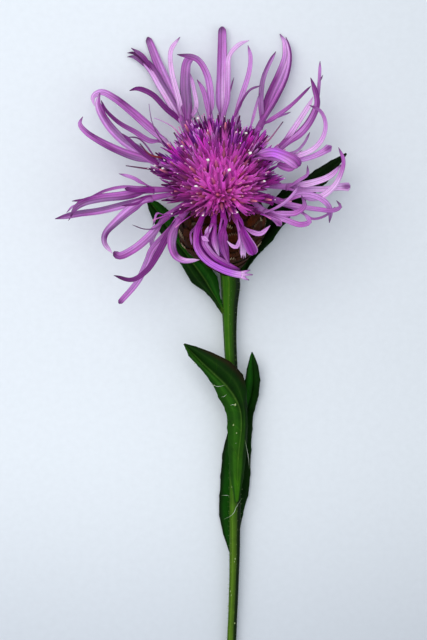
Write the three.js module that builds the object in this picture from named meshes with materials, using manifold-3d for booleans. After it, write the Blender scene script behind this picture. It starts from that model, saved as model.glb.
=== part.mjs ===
// A cut purple cornflower (meadow knapweed) that lies on a table: stem, four leaves, scaly involucre,
// ray florets with strap-like lobes, and a brush of disc florets.
// Millimetres. The table is z = 0, the stem runs along +Y to the head, +X is to the right.

import * as THREE from "three";
import { mergeVertices } from "three/addons/utils/BufferGeometryUtils.js";
import Module from "manifold-3d";

const wasm = await Module();
wasm.setup();

// ---------------------------------------------------------------- driving dimensions

const BLOOM_WIDTH = 49.2; // from the leftmost to the rightmost ray tip
const STEM_CUT_RADIUS = 0.72; // at the cut end
const GAP = 0.3; // clearance between neighbouring pieces
const BLADE_THICKNESS = 0.65; // leaves and ray lobes
const NARROWEST_LOBE = 0.75; // slimmer lobes are made this wide

const INVOLUCRE_LENGTH = 15.86;
const INVOLUCRE_FOOT = 1.2; // where its body begins, from the base of the head
const INVOLUCRE_BASE_HEIGHT = 2.85; // of the base of the head above the table
const SCALE_RELIEF = 0.8; // how far a scale's keel stands proud
const RECEPTACLE_RADIUS = 4.25; // the circle on which the ray florets stand
const DISC_FLORET_COUNT = 128;
const DISC_LENGTH = { back: 13.8, front: 12.6 }; // receptacle to the tips of the disc florets, on each side

// ---------------------------------------------------------------- places traced on the picture

// Outlines are followed on a picture of the flower, x to the right and y down, in pixels.
const LEFT_TIP_PX = 55;
const RIGHT_TIP_PX = 350;
const TOP_TIP_PX = 26;
const CUT_END_PX = 690;
const MM_PER_PX = BLOOM_WIDTH / (RIGHT_TIP_PX - LEFT_TIP_PX);
const MIDDLE_PX = { x: (LEFT_TIP_PX + RIGHT_TIP_PX) / 2, y: (TOP_TIP_PX + CUT_END_PX) / 2 };

/** A point of the picture at a height above the table. */
function at(px, py, height) {
  return new THREE.Vector3((px - MIDDLE_PX.x) * MM_PER_PX, (MIDDLE_PX.y - py) * MM_PER_PX, height);
}

/** A list of [px, py, height] as points. */
function points(list) {
  return list.map(([px, py, height]) => at(px, py, height));
}

// The head's axis runs from the base of the involucre to the middle of its mouth.
const HEAD_BASE = at(230, 278, INVOLUCRE_BASE_HEIGHT);
const MOUTH_ACROSS = at(221, 196, 0).sub(at(230, 278, 0));
const HEAD_RISE = Math.sqrt(INVOLUCRE_LENGTH ** 2 - MOUTH_ACROSS.lengthSq());
const HEAD_MOUTH = HEAD_BASE.clone().add(MOUTH_ACROSS).setZ(INVOLUCRE_BASE_HEIGHT + HEAD_RISE);
const HEAD_AXIS = HEAD_MOUTH.clone().sub(HEAD_BASE).normalize();
const HEAD_SIDE = new THREE.Vector3().crossVectors(HEAD_AXIS, new THREE.Vector3(0, 0, 1)).normalize();
const HEAD_FRONT = new THREE.Vector3().crossVectors(HEAD_SIDE, HEAD_AXIS).normalize();

// ---------------------------------------------------------------- solids

/** A closed geometry as a solid with its faces outwards. */
function solidOf(geometry) {
  geometry.deleteAttribute("normal");
  geometry.deleteAttribute("uv");
  const merged = mergeVertices(geometry, 1e-4);
  const corners = merged.index.array;
  const triangles = [];
  for (let i = 0; i < corners.length; i += 3) {
    const [a, b, c] = [corners[i], corners[i + 1], corners[i + 2]];
    if (a !== b && b !== c && c !== a) triangles.push(a, b, c);
  }
  const mesh = { numProp: 3, vertProperties: merged.attributes.position.array };
  const solid = new wasm.Manifold(new wasm.Mesh({ ...mesh, triVerts: new Uint32Array(triangles) }));
  if (solid.volume() > 0) return solid;
  return new wasm.Manifold(new wasm.Mesh({ ...mesh, triVerts: new Uint32Array(triangles.reverse()) }));
}

/** All the solids joined into one. */
function joined(solids) {
  return wasm.Manifold.union(solids);
}

/** What lies below the table, to be cut away. */
function belowTable() {
  const depth = 20;
  return solidOf(new THREE.BoxGeometry(200, 200, depth).translate(0, 0, -depth / 2));
}

/** A named mesh of a solid. */
function meshOf(name, solid, material) {
  const { vertProperties, triVerts } = solid.getMesh();
  const geometry = new THREE.BufferGeometry();
  geometry.setAttribute("position", new THREE.BufferAttribute(vertProperties, 3));
  geometry.setIndex(new THREE.BufferAttribute(triVerts, 1));
  geometry.computeVertexNormals();
  const mesh = new THREE.Mesh(geometry, material);
  mesh.name = name;
  return mesh;
}

/**
 * A closed skin over rings of points, each ring going round the direction of travel; its ends are flat.
 * With twoFaced, the second half of each ring is split into triangles alike with the first half.
 */
function skin(rings, twoFaced = false) {
  const count = rings[0].length;
  const index = [];
  for (let i = 0; i + 1 < rings.length; i++) {
    for (let j = 0; j < count; j++) {
      const a = i * count + j;
      const b = i * count + ((j + 1) % count);
      const [c, d] = [a + count, b + count];
      if (twoFaced && j >= count / 2) index.push(a, b, c, b, d, c);
      else index.push(a, b, d, a, d, c);
    }
  }
  const last = (rings.length - 1) * count;
  for (let j = 1; j + 1 < count; j++) {
    index.push(0, j + 1, j);
    index.push(last, last + j, last + j + 1);
  }
  const geometry = new THREE.BufferGeometry().setFromPoints(rings.flat());
  geometry.setIndex(index);
  return solidOf(geometry);
}

/** The directions across a path at its tangent: right and up, rolled about it. */
function across(tangent, roll = 0) {
  const right = new THREE.Vector3().crossVectors(tangent, new THREE.Vector3(0, 0, 1)).normalize();
  const up = new THREE.Vector3().crossVectors(right, tangent);
  return {
    right: right.clone().multiplyScalar(Math.cos(roll)).addScaledVector(up, Math.sin(roll)),
    up: up.clone().multiplyScalar(Math.cos(roll)).addScaledVector(right, -Math.sin(roll)),
  };
}

/** A tapering rod with few sides along a path. radius(s) gives its radius for s from 0 to 1. */
function rod(path, sides, steps, radius) {
  const curve = new THREE.CatmullRomCurve3(path, false, "centripetal");
  const rings = [];
  for (let i = 0; i <= steps; i++) {
    const s = i / steps;
    const centre = curve.getPointAt(s);
    const { right, up } = across(curve.getTangentAt(s));
    const ring = [];
    for (let j = 0; j < sides; j++) {
      const turn = (-2 * Math.PI * j) / sides;
      const out = right.clone().multiplyScalar(Math.cos(turn)).addScaledVector(up, Math.sin(turn));
      ring.push(centre.clone().addScaledVector(out, radius(s, j)));
    }
    rings.push(ring);
  }
  return skin(rings);
}

/** A lathed profile of [radius, distance along the axis] that stands on a point along the head's axis. */
function turned(profile, foot, sides) {
  const geometry = new THREE.LatheGeometry(
    profile.map(([radius, along]) => new THREE.Vector2(radius, along)),
    sides,
  );
  const upright = new THREE.Quaternion().setFromUnitVectors(new THREE.Vector3(0, 1, 0), HEAD_AXIS);
  return solidOf(geometry.applyQuaternion(upright).translate(foot.x, foot.y, foot.z));
}

/** A direction that leans from the head's axis, to the side that turn gives; a quarter turn is the front. */
function headDirection(lean, turn) {
  const out = HEAD_SIDE.clone().multiplyScalar(Math.cos(turn)).addScaledVector(HEAD_FRONT, Math.sin(turn));
  return HEAD_AXIS.clone().multiplyScalar(Math.cos(lean)).addScaledVector(out, Math.sin(lean));
}

/** A number from 0 to 1 that jumps about evenly with i, and in another order for each seed. */
function scatter(i, seed) {
  const goldenShare = 0.6180339887;
  const step = goldenShare + 0.1371 * seed;
  return (i * step + 0.37 * seed) % 1;
}

// ---------------------------------------------------------------- stem

const STEM = [
  { px: [230.5, 690, 0.58], radius: STEM_CUT_RADIUS },
  { px: [231.7, 640, 1.2], radius: 0.74 },
  { px: [233.3, 600, 1.65], radius: 0.76 },
  { px: [234.5, 560, 2.0], radius: 0.84 },
  { px: [234.9, 520, 2.2], radius: 0.9 },
  { px: [235.2, 475, 2.32], radius: 0.96 },
  { px: [234.8, 430, 2.35], radius: 1.0 },
  { px: [232.6, 385, 2.3], radius: 1.0 },
  { px: [230.3, 340, 2.2], radius: 1.05 },
  { px: [230.0, 305, 2.1], radius: 1.28 },
];
const STEM_NECK = 1.5; // the length below the head that already follows the head's axis
const STEM_NECK_RADIUS = 1.55;
const STEM_TOP_RADIUS = 1.6;
const STEM_RIBS = 6;
const RIB_DEPTH = 0.06;
const STEM_STEPS = 18;

/** The ribbed stem, its cut end resting on the table and its top just short of the involucre. */
function stem() {
  const top = HEAD_BASE.clone().addScaledVector(HEAD_AXIS, INVOLUCRE_FOOT - GAP);
  const neck = top.clone().addScaledVector(HEAD_AXIS, -STEM_NECK);
  const path = [...STEM.map(({ px }) => at(...px)), neck, top];
  const radii = [...STEM.map(({ radius }) => radius), STEM_NECK_RADIUS, STEM_TOP_RADIUS];
  const curve = new THREE.CatmullRomCurve3(path, false, "centripetal");
  const stretches = path.length - 1;
  const radius = (s, j) => {
    const place = curve.getUtoTmapping(s) * stretches;
    const i = Math.min(Math.floor(place), stretches - 1);
    const grooved = (j % 2) * RIB_DEPTH;
    return THREE.MathUtils.lerp(radii[i], radii[i + 1], place - i) - grooved;
  };
  return rod(path, 2 * STEM_RIBS, STEM_STEPS, radius).subtract(belowTable());
}

// ---------------------------------------------------------------- leaves

// Each leaf by stations from its base to its tip: the midrib, the left edge and the right edge. curl is how
// far each half of the blade bows above the straight line from rib to edge.
const LEAVES = {
  leaf_upper_left: {
    curl: 0.3,
    stations: [
      { rib: [220.2, 308.5, 2.6], left: [219.5, 311.5, 2.5], right: [220.7, 304.5, 2.7] },
      { rib: [216.8, 300, 2.75], left: [213.4, 301.5, 2.5], right: [219.8, 297.5, 2.95] },
      { rib: [212, 291.5, 2.8], left: [205.5, 292.5, 2.4], right: [219.2, 288.5, 3.0] },
      { rib: [204.6, 279, 2.7], left: [193, 283, 2.1], right: [217, 277.5, 2.9] },
      { rib: [195, 265.5, 2.4], left: [182.5, 267, 1.8], right: [208, 265, 2.6] },
      { rib: [186, 253.5, 2.1], left: [176.5, 255, 1.5], right: [195.5, 255, 2.4] },
      { rib: [176, 240, 2.1], left: [167, 242, 1.5], right: [183, 241, 2.6] },
      { rib: [165, 223, 2.5], left: [157, 227.5, 2.0], right: [174, 217.5, 3.2] },
      { rib: [154.5, 207.5, 2.9], left: [149.7, 212, 2.6], right: [160.5, 203.5, 3.3] },
      { rib: [146.5, 198.5, 3.4], left: [146, 199.3, 3.4], right: [147.3, 198, 3.5] },
    ],
  },
  leaf_upper_right: {
    curl: 0.3,
    stations: [
      { rib: [243, 277, 2.2], left: [241.6, 276, 2.0], right: [244.2, 277.3, 2.4] },
      { rib: [247.5, 265, 1.4], left: [244, 263, 1.1], right: [251, 263.5, 1.8] },
      { rib: [256, 249, 0.9], left: [250, 245, 0.6], right: [262, 251, 1.6] },
      { rib: [265, 235, 1.1], left: [256, 229, 0.6], right: [272, 240.5, 1.9] },
      { rib: [278, 216, 1.9], left: [268, 208, 1.4], right: [285.5, 222.5, 2.6] },
      { rib: [293, 198, 2.9], left: [284, 189, 2.4], right: [301, 205, 3.4] },
      { rib: [308, 185, 3.7], left: [301, 180, 3.4], right: [314, 194, 4.1] },
      { rib: [322, 174, 4.2], left: [317, 169, 4.1], right: [327.5, 181.5, 4.5] },
      { rib: [336, 162.5, 4.5], left: [333, 159.5, 4.5], right: [339, 166, 4.7] },
      { rib: [346.5, 153.3, 4.6], left: [345.8, 153, 4.6], right: [347, 154, 4.7] },
    ],
  },
  leaf_middle_left: {
    curl: 0.35,
    stations: [
      { rib: [237, 502, 3.9], left: [235, 503, 3.8], right: [239, 501, 3.8] },
      { rib: [237.5, 480, 4.05], left: [231, 480, 3.75], right: [243, 480, 3.75] },
      { rib: [238.5, 455, 4.15], left: [228.5, 455, 3.5], right: [246, 455, 3.5] },
      { rib: [241.5, 428, 4.3], left: [227.5, 430, 3.9], right: [247.5, 428, 3.8] },
      { rib: [240.5, 411, 4.6], left: [226, 412, 4.4], right: [247, 407, 4.2] },
      { rib: [235, 398, 5.1], left: [219.5, 399, 5.0], right: [246.5, 392, 4.8] },
      { rib: [226, 386, 5.6], left: [211, 382, 5.6], right: [243, 376, 5.6] },
      { rib: [214, 374.5, 5.9], left: [199, 367, 6.0], right: [231, 362.5, 6.3] },
      { rib: [200, 361, 5.9], left: [189, 356, 6.0], right: [212, 352.5, 6.4] },
      { rib: [190, 350.5, 5.6], left: [186, 349.5, 5.7], right: [196, 346.5, 5.9] },
      { rib: [184, 344, 5.3], left: [183.5, 344.3, 5.3], right: [184.8, 343.4, 5.3] },
    ],
  },
  leaf_middle_right: {
    curl: 0.1,
    stations: [
      { rib: [231.5, 554, 0.42], left: [229.5, 553, 0.42], right: [234, 552, 0.42] },
      { rib: [232, 534, 0.4], left: [223.3, 534, 0.5], right: [239.5, 532, 0.5] },
      { rib: [233, 513, 0.38], left: [219.2, 513, 0.7], right: [243.3, 513, 0.6] },
      { rib: [234, 490, 0.38], left: [220, 490, 0.8], right: [249, 490, 0.8] },
      { rib: [236, 465, 0.4], left: [221.3, 468, 0.7], right: [250.6, 463, 0.9] },
      { rib: [239.5, 440, 0.5], left: [225, 442, 0.6], right: [251.6, 438, 1.0] },
      { rib: [245, 416, 0.8], left: [234, 420, 0.7], right: [253.7, 414, 1.3] },
      { rib: [250.5, 397, 1.3], left: [241, 399, 1.2], right: [258.2, 397, 1.7] },
      { rib: [252.8, 380, 1.9], left: [245, 381, 1.9], right: [260, 380, 2.2] },
      { rib: [252.3, 366, 2.4], left: [247.3, 367, 2.4], right: [257.6, 364, 2.6] },
      { rib: [252, 352, 2.7], left: [251.4, 352.3, 2.7], right: [252.6, 352, 2.7] },
    ],
  },
};
const LEAF_STEPS = 14;
const FULL_CURL_WIDTH = 3; // a narrower stretch of a blade bows less

/** One leaf blade through its stations, a little bowed on both sides of the midrib. */
function leaf({ curl, stations }) {
  const line = (key) => new THREE.CatmullRomCurve3(points(stations.map((s) => s[key])), false, "centripetal");
  const [rib, left, right] = [line("rib"), line("left"), line("right")];
  const rings = [];
  for (let i = 0; i <= LEAF_STEPS; i++) {
    const s = i / LEAF_STEPS;
    const [l, m, r] = [left.getPoint(s), rib.getPoint(s), right.getPoint(s)];
    const sideways = r.clone().sub(l).normalize();
    const up = new THREE.Vector3().crossVectors(sideways, rib.getTangent(s)).normalize();
    const bow = curl * Math.min(1, r.distanceTo(l) / FULL_CURL_WIDTH);
    const top = [l, l.clone().lerp(m, 0.5).addScaledVector(up, bow), m];
    top.push(r.clone().lerp(m, 0.5).addScaledVector(up, bow), r);
    const half = BLADE_THICKNESS / 2;
    const under = top.map((p) => p.clone().addScaledVector(up, -half)).reverse();
    rings.push([...under, ...top.map((p) => p.clone().addScaledVector(up, half))]);
  }
  return skin(rings, true);
}

// ---------------------------------------------------------------- involucre

// The egg-shaped body as [radius, distance from the base of the head].
const INVOLUCRE_PROFILE = [
  [1.55, INVOLUCRE_FOOT],
  [1.9, 2],
  [3.6, 4],
  [5.5, 6],
  [6.6, 8],
  [6.8, 10],
  [6.4, 12],
  [5.8, 14],
  [5.3, INVOLUCRE_LENGTH - GAP],
];
// The body bulges to the left of the head's axis and towards the table, at most by these.
const INVOLUCRE_BULGE = { left: 0.5, down: 0.9, until: 13 };
const SCALE_ROWS = [
  { along: 2.0, count: 8, length: 2.8 },
  { along: 4.0, count: 9, length: 3.4 },
  { along: 6.4, count: 11, length: 3.7 },
  { along: 9.0, count: 11, length: 3.8 },
  { along: 11.7, count: 11, length: 3.6 },
];
const SCALE_OVERLAP = 1.25; // the width of a scale against its share of the row
const INVOLUCRE_SIDES = 20;
// The sections of a scale: the share of its length, its width, and how far its keel and edges stand proud.
const SCALE_SECTIONS = [
  { share: 0, width: 0.6, keel: 0.05, edge: -0.35 },
  { share: 0.62, width: 1, keel: SCALE_RELIEF, edge: -0.1 },
  { share: 1, width: 0.16, keel: SCALE_RELIEF, edge: 0.1 },
];

/** The radius of the involucre's body at a distance from the base of the head. */
function involucreRadius(along) {
  const i = Math.max(0, INVOLUCRE_PROFILE.findIndex(([, to]) => to >= along) - 1);
  const [[r0, a0], [r1, a1]] = [INVOLUCRE_PROFILE[i], INVOLUCRE_PROFILE[i + 1]];
  return THREE.MathUtils.lerp(r0, r1, THREE.MathUtils.clamp((along - a0) / (a1 - a0), 0, 1));
}

/** A point over the involucre's body, proud of it by lift. */
function onInvolucre(along, turn, lift) {
  const { left, down, until } = INVOLUCRE_BULGE;
  const share = THREE.MathUtils.clamp((along - INVOLUCRE_FOOT) / (until - INVOLUCRE_FOOT), 0, 1);
  const bulge = Math.sin(Math.PI * share);
  return HEAD_BASE.clone()
    .addScaledVector(HEAD_AXIS, along)
    .addScaledVector(HEAD_SIDE, -left * bulge)
    .addScaledVector(HEAD_FRONT, -down * bulge)
    .addScaledVector(headDirection(Math.PI / 2, turn), involucreRadius(along) + lift);
}

/** The involucre's body without its scales. */
function involucreBody() {
  const turns = Array.from({ length: INVOLUCRE_SIDES }, (_, j) => (-2 * Math.PI * j) / INVOLUCRE_SIDES);
  return skin(INVOLUCRE_PROFILE.map(([, along]) => turns.map((turn) => onInvolucre(along, turn, 0))));
}

/** One keeled scale whose tip stands off the body and covers the root of the next row. */
function scale({ along, length }, turn, halfTurn) {
  const rings = SCALE_SECTIONS.map(({ share, width, keel, edge }) => {
    const place = along + length * share;
    const wide = halfTurn * width;
    return [
      onInvolucre(place, turn - wide, edge),
      onInvolucre(place, turn + wide, edge),
      onInvolucre(place, turn, keel),
    ];
  });
  return skin(rings);
}

/** The involucre: its body and the rows of scales, with a small flat spot where it rests. */
function involucre() {
  const pieces = [involucreBody()];
  SCALE_ROWS.forEach((row, level) => {
    for (let i = 0; i < row.count; i++) {
      const turn = (2 * Math.PI * (i + (level % 2) / 2)) / row.count;
      pieces.push(scale(row, turn, (Math.PI / row.count) * SCALE_OVERLAP));
    }
  });
  return joined(pieces).subtract(belowTable());
}

// ---------------------------------------------------------------- ray florets

/** A lobe: its width, its width near the tip, and the points that it passes after the throat. */
function lobe(width, tipWidth, ...path) {
  return { width, tipWidth, path };
}

// Each ray floret by the place where its tube opens, and its lobes.
const RAY_FLORETS = {
  tall_left: {
    throat: [183, 122, 3.6],
    lobes: [
      lobe(1.65, 0.95, [172, 95, 2.6], [160, 68, 1.5], [147.5, 36.5, 0.12]),
      lobe(1.6, 1.2, [163, 88, 3.2], [150, 65, 2.0], [140, 56, 1.3], [131, 49, 0.8], [127, 55, 0.5]),
      lobe(0.9, 0.75, [167, 109, 4.6], [152, 94, 4.8], [138, 88.5, 4.4], [129.5, 90.5, 3.8]),
      lobe(0.85, 0.6, [179, 100, 3.9], [171.5, 70, 3.4], [171, 50, 2.6], [180, 36.5, 1.8]),
    ],
  },
  folded: {
    throat: [188, 120, 4.3],
    lobes: [
      lobe(1.75, 1.2, [186, 100, 4.1], [185, 80, 3.5], [187, 62, 3.3], [192, 57, 3.9]),
      lobe(0.7, 0.5, [196, 108, 4.7], [194, 90, 4.5], [190, 73, 4.2]),
    ],
  },
  hooked: {
    throat: [210, 119, 5.0],
    lobes: [
      lobe(1.15, 0.75, [211, 97, 5.0], [207, 74, 5.2], [197, 59, 5.6], [177, 54.5, 5.4]),
      lobe(0.85, 0.6, [207, 105, 5.4], [203, 90, 5.5], [197, 79.5, 5.0]),
    ],
  },
  tallest: {
    throat: [222, 118, 3.3],
    lobes: [
      lobe(1.65, 1.1, [219, 95, 3.0], [221, 60, 2.0], [222, 26.5, 1.0]),
      lobe(0.85, 0.6, [227, 100, 3.7], [228, 72, 3.5], [229, 56, 3.3], [238, 45, 3.0], [249, 40, 2.4]),
    ],
  },
  slim_right: {
    throat: [235, 118, 4.6],
    lobes: [
      lobe(0.85, 0.55, [241, 98, 4.4], [249, 72, 3.7], [250.5, 57, 3.1], [248, 45, 2.4]),
      lobe(0.4, 0.3, [240, 105, 5.2], [250, 90, 5.3], [261, 85.5, 5.0]),
    ],
  },
  tall_right: {
    throat: [262, 122, 3.8],
    lobes: [
      lobe(0.85, 0.5, [261, 100, 3.4], [263, 80, 2.8], [269, 64, 2.0], [276, 51, 1.0]),
      lobe(1.5, 1.0, [270, 97, 3.0], [281, 72, 2.2], [286.5, 55, 1.4], [285, 42, 0.7], [280, 33.5, 0.12]),
      lobe(0.85, 0.5, [277, 97, 3.8], [287, 75, 3.2], [290, 55, 2.4], [286, 36.5, 1.6]),
      lobe(0.75, 0.3, [270, 120, 5.4], [290, 106, 6.2], [311, 86, 6.8]),
    ],
  },
  upper_right: {
    throat: [283, 145, 7.4],
    lobes: [
      lobe(0.95, 0.7, [296, 126, 7.2], [308, 107, 6.8], [313, 97, 6.4]),
      lobe(1.05, 0.7, [301, 133, 8.2], [312, 118, 8.5], [317, 103, 8.6], [314, 88, 8.4], [310.5, 78, 8]),
      lobe(0.6, 0.45, [305, 125, 7.4], [316, 104, 7.4], [319, 84, 6.8], [320, 61, 6.2]),
    ],
  },
  curled: {
    throat: [262, 151, 19],
    lobes: [
      lobe(1.35, 1.3, [273, 150, 19.8], [286, 154, 19.8], [298, 163, 19]),
      lobe(
        0.9, 0.4,
        [296, 157, 19], [314, 149, 18.2], [323, 137, 17.2], [325, 124, 16], [320, 112, 15], [309, 106, 14],
      ),
      lobe(0.8, 1.2, [298, 159, 18.6], [318, 155, 17.9], [331, 147, 17]),
      lobe(0.45, 0.35, [294, 153, 19.2], [303, 145, 18.4], [309.5, 133, 17.6]),
    ],
  },
  far_right: {
    throat: [290, 187, 12.6],
    lobes: [
      lobe(0.55, 0.4, [300, 180, 13.8], [307, 175, 14.4], [307, 166, 15]),
      lobe(1.05, 0.75, [312, 183, 13.2], [330, 176, 13.0], [341, 165, 12.8]),
      lobe(1.05, 1.35, [305, 189, 12.2], [325, 189, 11.8], [340, 187, 11.4], [350, 187, 11]),
      lobe(
        1.05, 0.4,
        [310, 198, 12.6], [322, 196, 13], [334, 186, 13.8],
        [341, 172, 14.2], [343, 161, 14.4], [338, 148, 14.4],
      ),
    ],
  },
  lower_right: {
    throat: [283, 203, 13.6],
    lobes: [
      lobe(0.95, 0.7, [300, 195, 13.6], [318, 198, 13.2], [328, 206, 12.6], [330, 213, 12], [329, 223, 11.4]),
      lobe(0.75, 0.6, [300, 207, 14.2], [320, 210, 14.4], [332, 211, 14.2], [340, 207, 14], [336, 201, 14.2]),
      lobe(0.45, 0.3, [302, 213, 13.2], [312, 219, 12.8], [325, 216, 12.6], [335, 207, 12.4]),
    ],
  },
  low_right: {
    throat: [266, 213, 15.6],
    lobes: [
      lobe(0.5, 0.4, [280, 206, 16.4], [290, 198, 16.6], [299, 186, 16.6]),
      lobe(0.9, 0.75, [283, 214, 15.8], [296, 213, 16.4], [304, 206, 16.8], [301, 196, 17.2]),
      lobe(0.9, 0.7, [285, 220, 15.4], [300, 225, 15.6], [309, 222, 16], [302, 212, 16]),
      lobe(0.85, 1.25, [274, 219, 15.8], [281, 226, 15.4]),
    ],
  },
  front_right: {
    throat: [239, 222, 18],
    lobes: [
      lobe(0.8, 0.5, [250, 231, 18.4], [262, 233, 18], [270, 226, 17.6]),
      lobe(1.35, 1.7, [246, 236, 19], [253, 247, 18.8], [257, 256, 18]),
      lobe(0.65, 0.85, [242, 240, 18.2], [243, 250, 17.6], [244, 259, 16.8]),
      lobe(0.55, 0.4, [237, 242, 19.4], [232, 245, 19.8], [227, 241, 20]),
    ],
  },
  front_middle: {
    throat: [224, 222, 18.6],
    lobes: [
      lobe(1.45, 1.25, [223, 240, 19.2], [226, 255, 18.6], [229, 264, 17.6]),
      lobe(0.6, 0.55, [219, 238, 18], [221, 250, 17.2], [226, 263, 16.2]),
    ],
  },
  front_left: {
    throat: [213, 228, 18.6],
    lobes: [
      lobe(1.1, 0.9, [214, 238, 19.2], [217, 250, 18.6], [219, 256, 17.8]),
      lobe(
        1.15, 1.0,
        [205, 244, 18.4], [213, 253.5, 17.6], [222, 261.5, 16.8], [232, 267, 16], [243, 270.5, 15.2],
      ),
    ],
  },
  swept: {
    throat: [198, 229, 17.6],
    lobes: [
      lobe(
        1.5, 1.35,
        [195.5, 243, 18.2], [199.5, 255, 18], [209, 265, 17],
        [223, 271.8, 16], [237, 275, 15.2], [250, 275.8, 14.8],
      ),
      lobe(0.7, 0.5, [204, 238, 18.6], [209, 242, 19]),
      lobe(0.4, 0.3, [192, 235, 17.2], [191.5, 245, 16.6]),
    ],
  },
  drooping: {
    throat: [178, 221, 15.6],
    lobes: [
      lobe(1.3, 0.6, [172, 238, 16.2], [173, 252, 16.2], [182, 261, 16.2], [200, 260, 16.4]),
      lobe(1.0, 0.35, [168, 236, 15], [158, 255, 14.4], [147, 271, 13.6], [132, 280, 12.8], [114, 275.5, 12]),
      lobe(1.0, 0.7, [163, 238, 14.4], [152, 250, 13.4], [147, 262, 12.4], [138, 281, 11], [119, 303.5, 8.8]),
    ],
  },
  low_left: {
    throat: [165, 218, 14.2],
    lobes: [
      lobe(1.05, 0.9, [150, 236, 14.6], [133, 250, 14.6], [119, 256, 14.2], [114, 252, 14.2]),
      lobe(0.75, 0.55, [156, 232, 13.4], [152, 242, 12.8], [154, 254, 12.2], [146, 266, 11.6]),
      lobe(0.4, 0.3, [158, 215, 14.6], [153, 226, 15]),
    ],
  },
  looping: {
    throat: [148, 199, 12],
    lobes: [
      lobe(
        1.2, 0.45,
        [132, 209, 12.8], [117, 222, 13.6], [106, 234, 14.2], [105, 243, 14.8], [113, 254, 15.6],
      ),
      lobe(1.05, 0.55, [125, 205, 11.6], [100, 211, 10.8], [78, 214, 10], [55.5, 219, 9]),
      lobe(0.55, 0.5, [134, 205, 12.8], [122, 206, 13]),
    ],
  },
  far_left: {
    throat: [150, 190, 12],
    lobes: [
      lobe(1.25, 0.95, [125, 196, 12.2], [100, 199, 12.4], [82, 204, 12.6], [74, 211, 12.4], [71, 217, 12.2]),
      lobe(0.5, 0.35, [125, 187, 11.6], [105, 191, 11.2], [88, 199, 11], [72, 201.5, 10.8]),
      lobe(0.7, 0.6, [138, 191, 13], [125, 189, 13.6]),
      lobe(0.6, 0.45, [135, 179, 12.6], [119, 174, 12.6]),
    ],
  },
  upper_left: {
    throat: [155, 162, 9.2],
    lobes: [
      lobe(1.3, 0.6, [130, 155, 9.2], [105, 144, 9], [86, 132, 8.8], [80, 124, 8.8], [83, 117, 9.2]),
      lobe(1.35, 0.9, [140, 152, 8.8], [122, 140, 8.4], [106, 122, 8], [98, 104, 7.6], [100, 93, 7.4]),
      lobe(0.75, 0.5, [138, 149, 10.2], [130, 141, 10.4], [121.5, 133.5, 10.4]),
    ],
  },
  arching: {
    throat: [163, 140, 6.2],
    lobes: [
      lobe(
        1.35, 0.7,
        [150, 128, 6], [132, 112, 5.4], [114, 98, 4.8], [101, 92, 4.4], [93, 97, 4.8], [94.5, 106, 5.2],
      ),
      lobe(0.85, 0.35, [150, 141, 6.6], [135, 132, 6.6], [118, 122, 6.2], [105, 109, 5.6], [101, 100, 5.2]),
    ],
  },
};
const TUBE_ROOT_RADIUS = 0.42;
const TUBE_THROAT_RADIUS = 0.72;
const TUBE_KNEE = 0.7; // how far a tube rises over the rim of the involucre before it leans out
const TUBE_KNEE_SHARE = 0.2; // where along the tube it leans out
const TUBE_SIDES = 5;
const TUBE_STEPS = 3;
const LOBE_STEP = 2.6; // the length of a lobe's facets
const LOBE_ROOT_SHARE = 0.1; // how far down the tube the lobes begin
const LOBE_ROLL = 0.9; // the most that two lobes are turned from each other about their paths
const LOBE_TIP = 0.3; // the width of a lobe's blunt end against its full width
const COLLAR = { inner: 3.3, outer: 5.1, height: 1.1, sides: 20 };

/** Where a ray floret stands on the receptacle: below its throat, on the circle of roots. */
function rayRoot(throat) {
  const outward = throat.clone().sub(HEAD_MOUTH);
  outward.addScaledVector(HEAD_AXIS, -outward.dot(HEAD_AXIS)).normalize();
  return HEAD_MOUTH.clone()
    .addScaledVector(HEAD_AXIS, COLLAR.height / 2)
    .addScaledVector(outward, RECEPTACLE_RADIUS);
}

/** A strap-like lobe with a flat diamond section that narrows to a blunt tip. */
function strap({ width, tipWidth, path }, start, roll) {
  const curve = new THREE.CatmullRomCurve3([start, ...points(path)], false, "centripetal");
  const steps = Math.max(2, Math.round(curve.getLength() / LOBE_STEP));
  const rings = [];
  for (let i = 0; i <= steps; i++) {
    const s = i / steps;
    const centre = curve.getPointAt(s);
    const { right, up } = across(curve.getTangentAt(s), roll * Math.sin(Math.PI * s));
    const atTip = i === steps;
    const narrowing = Math.min(1, 0.55 + 1.5 * s) * (atTip ? LOBE_TIP : 1);
    const wide = (Math.max(NARROWEST_LOBE, THREE.MathUtils.lerp(width, tipWidth, s * s)) * narrowing) / 2;
    const thick = (BLADE_THICKNESS / 2) * (atTip ? 0.5 : 1);
    rings.push([
      centre.clone().addScaledVector(right, wide),
      centre.clone().addScaledVector(up, -thick),
      centre.clone().addScaledVector(right, -wide),
      centre.clone().addScaledVector(up, thick),
    ]);
  }
  return skin(rings);
}

/** All the ray florets on their ring of roots. */
function rayFlorets() {
  const { inner, outer, height, sides } = COLLAR;
  const ring = [[inner, 0], [outer, 0], [outer, height], [inner, height], [inner, 0]];
  const pieces = [turned(ring, HEAD_MOUTH, sides)];
  Object.values(RAY_FLORETS).forEach(({ throat, lobes }, i) => {
    const mouth = at(...throat);
    const root = rayRoot(mouth);
    const knee = root.clone().lerp(mouth, TUBE_KNEE_SHARE).addScaledVector(HEAD_AXIS, TUBE_KNEE);
    const start = mouth.clone().lerp(root, LOBE_ROOT_SHARE);
    const radius = (s) => THREE.MathUtils.lerp(TUBE_ROOT_RADIUS, TUBE_THROAT_RADIUS, s * s);
    pieces.push(rod([root, knee, mouth], TUBE_SIDES, TUBE_STEPS, radius));
    lobes.forEach((shape, j) => {
      const roll = LOBE_ROLL * (scatter(3 * i + j, 1) - 0.5);
      pieces.push(strap(shape, start, roll));
    });
  });
  return joined(pieces).subtract(belowTable());
}

// ---------------------------------------------------------------- disc florets

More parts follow.
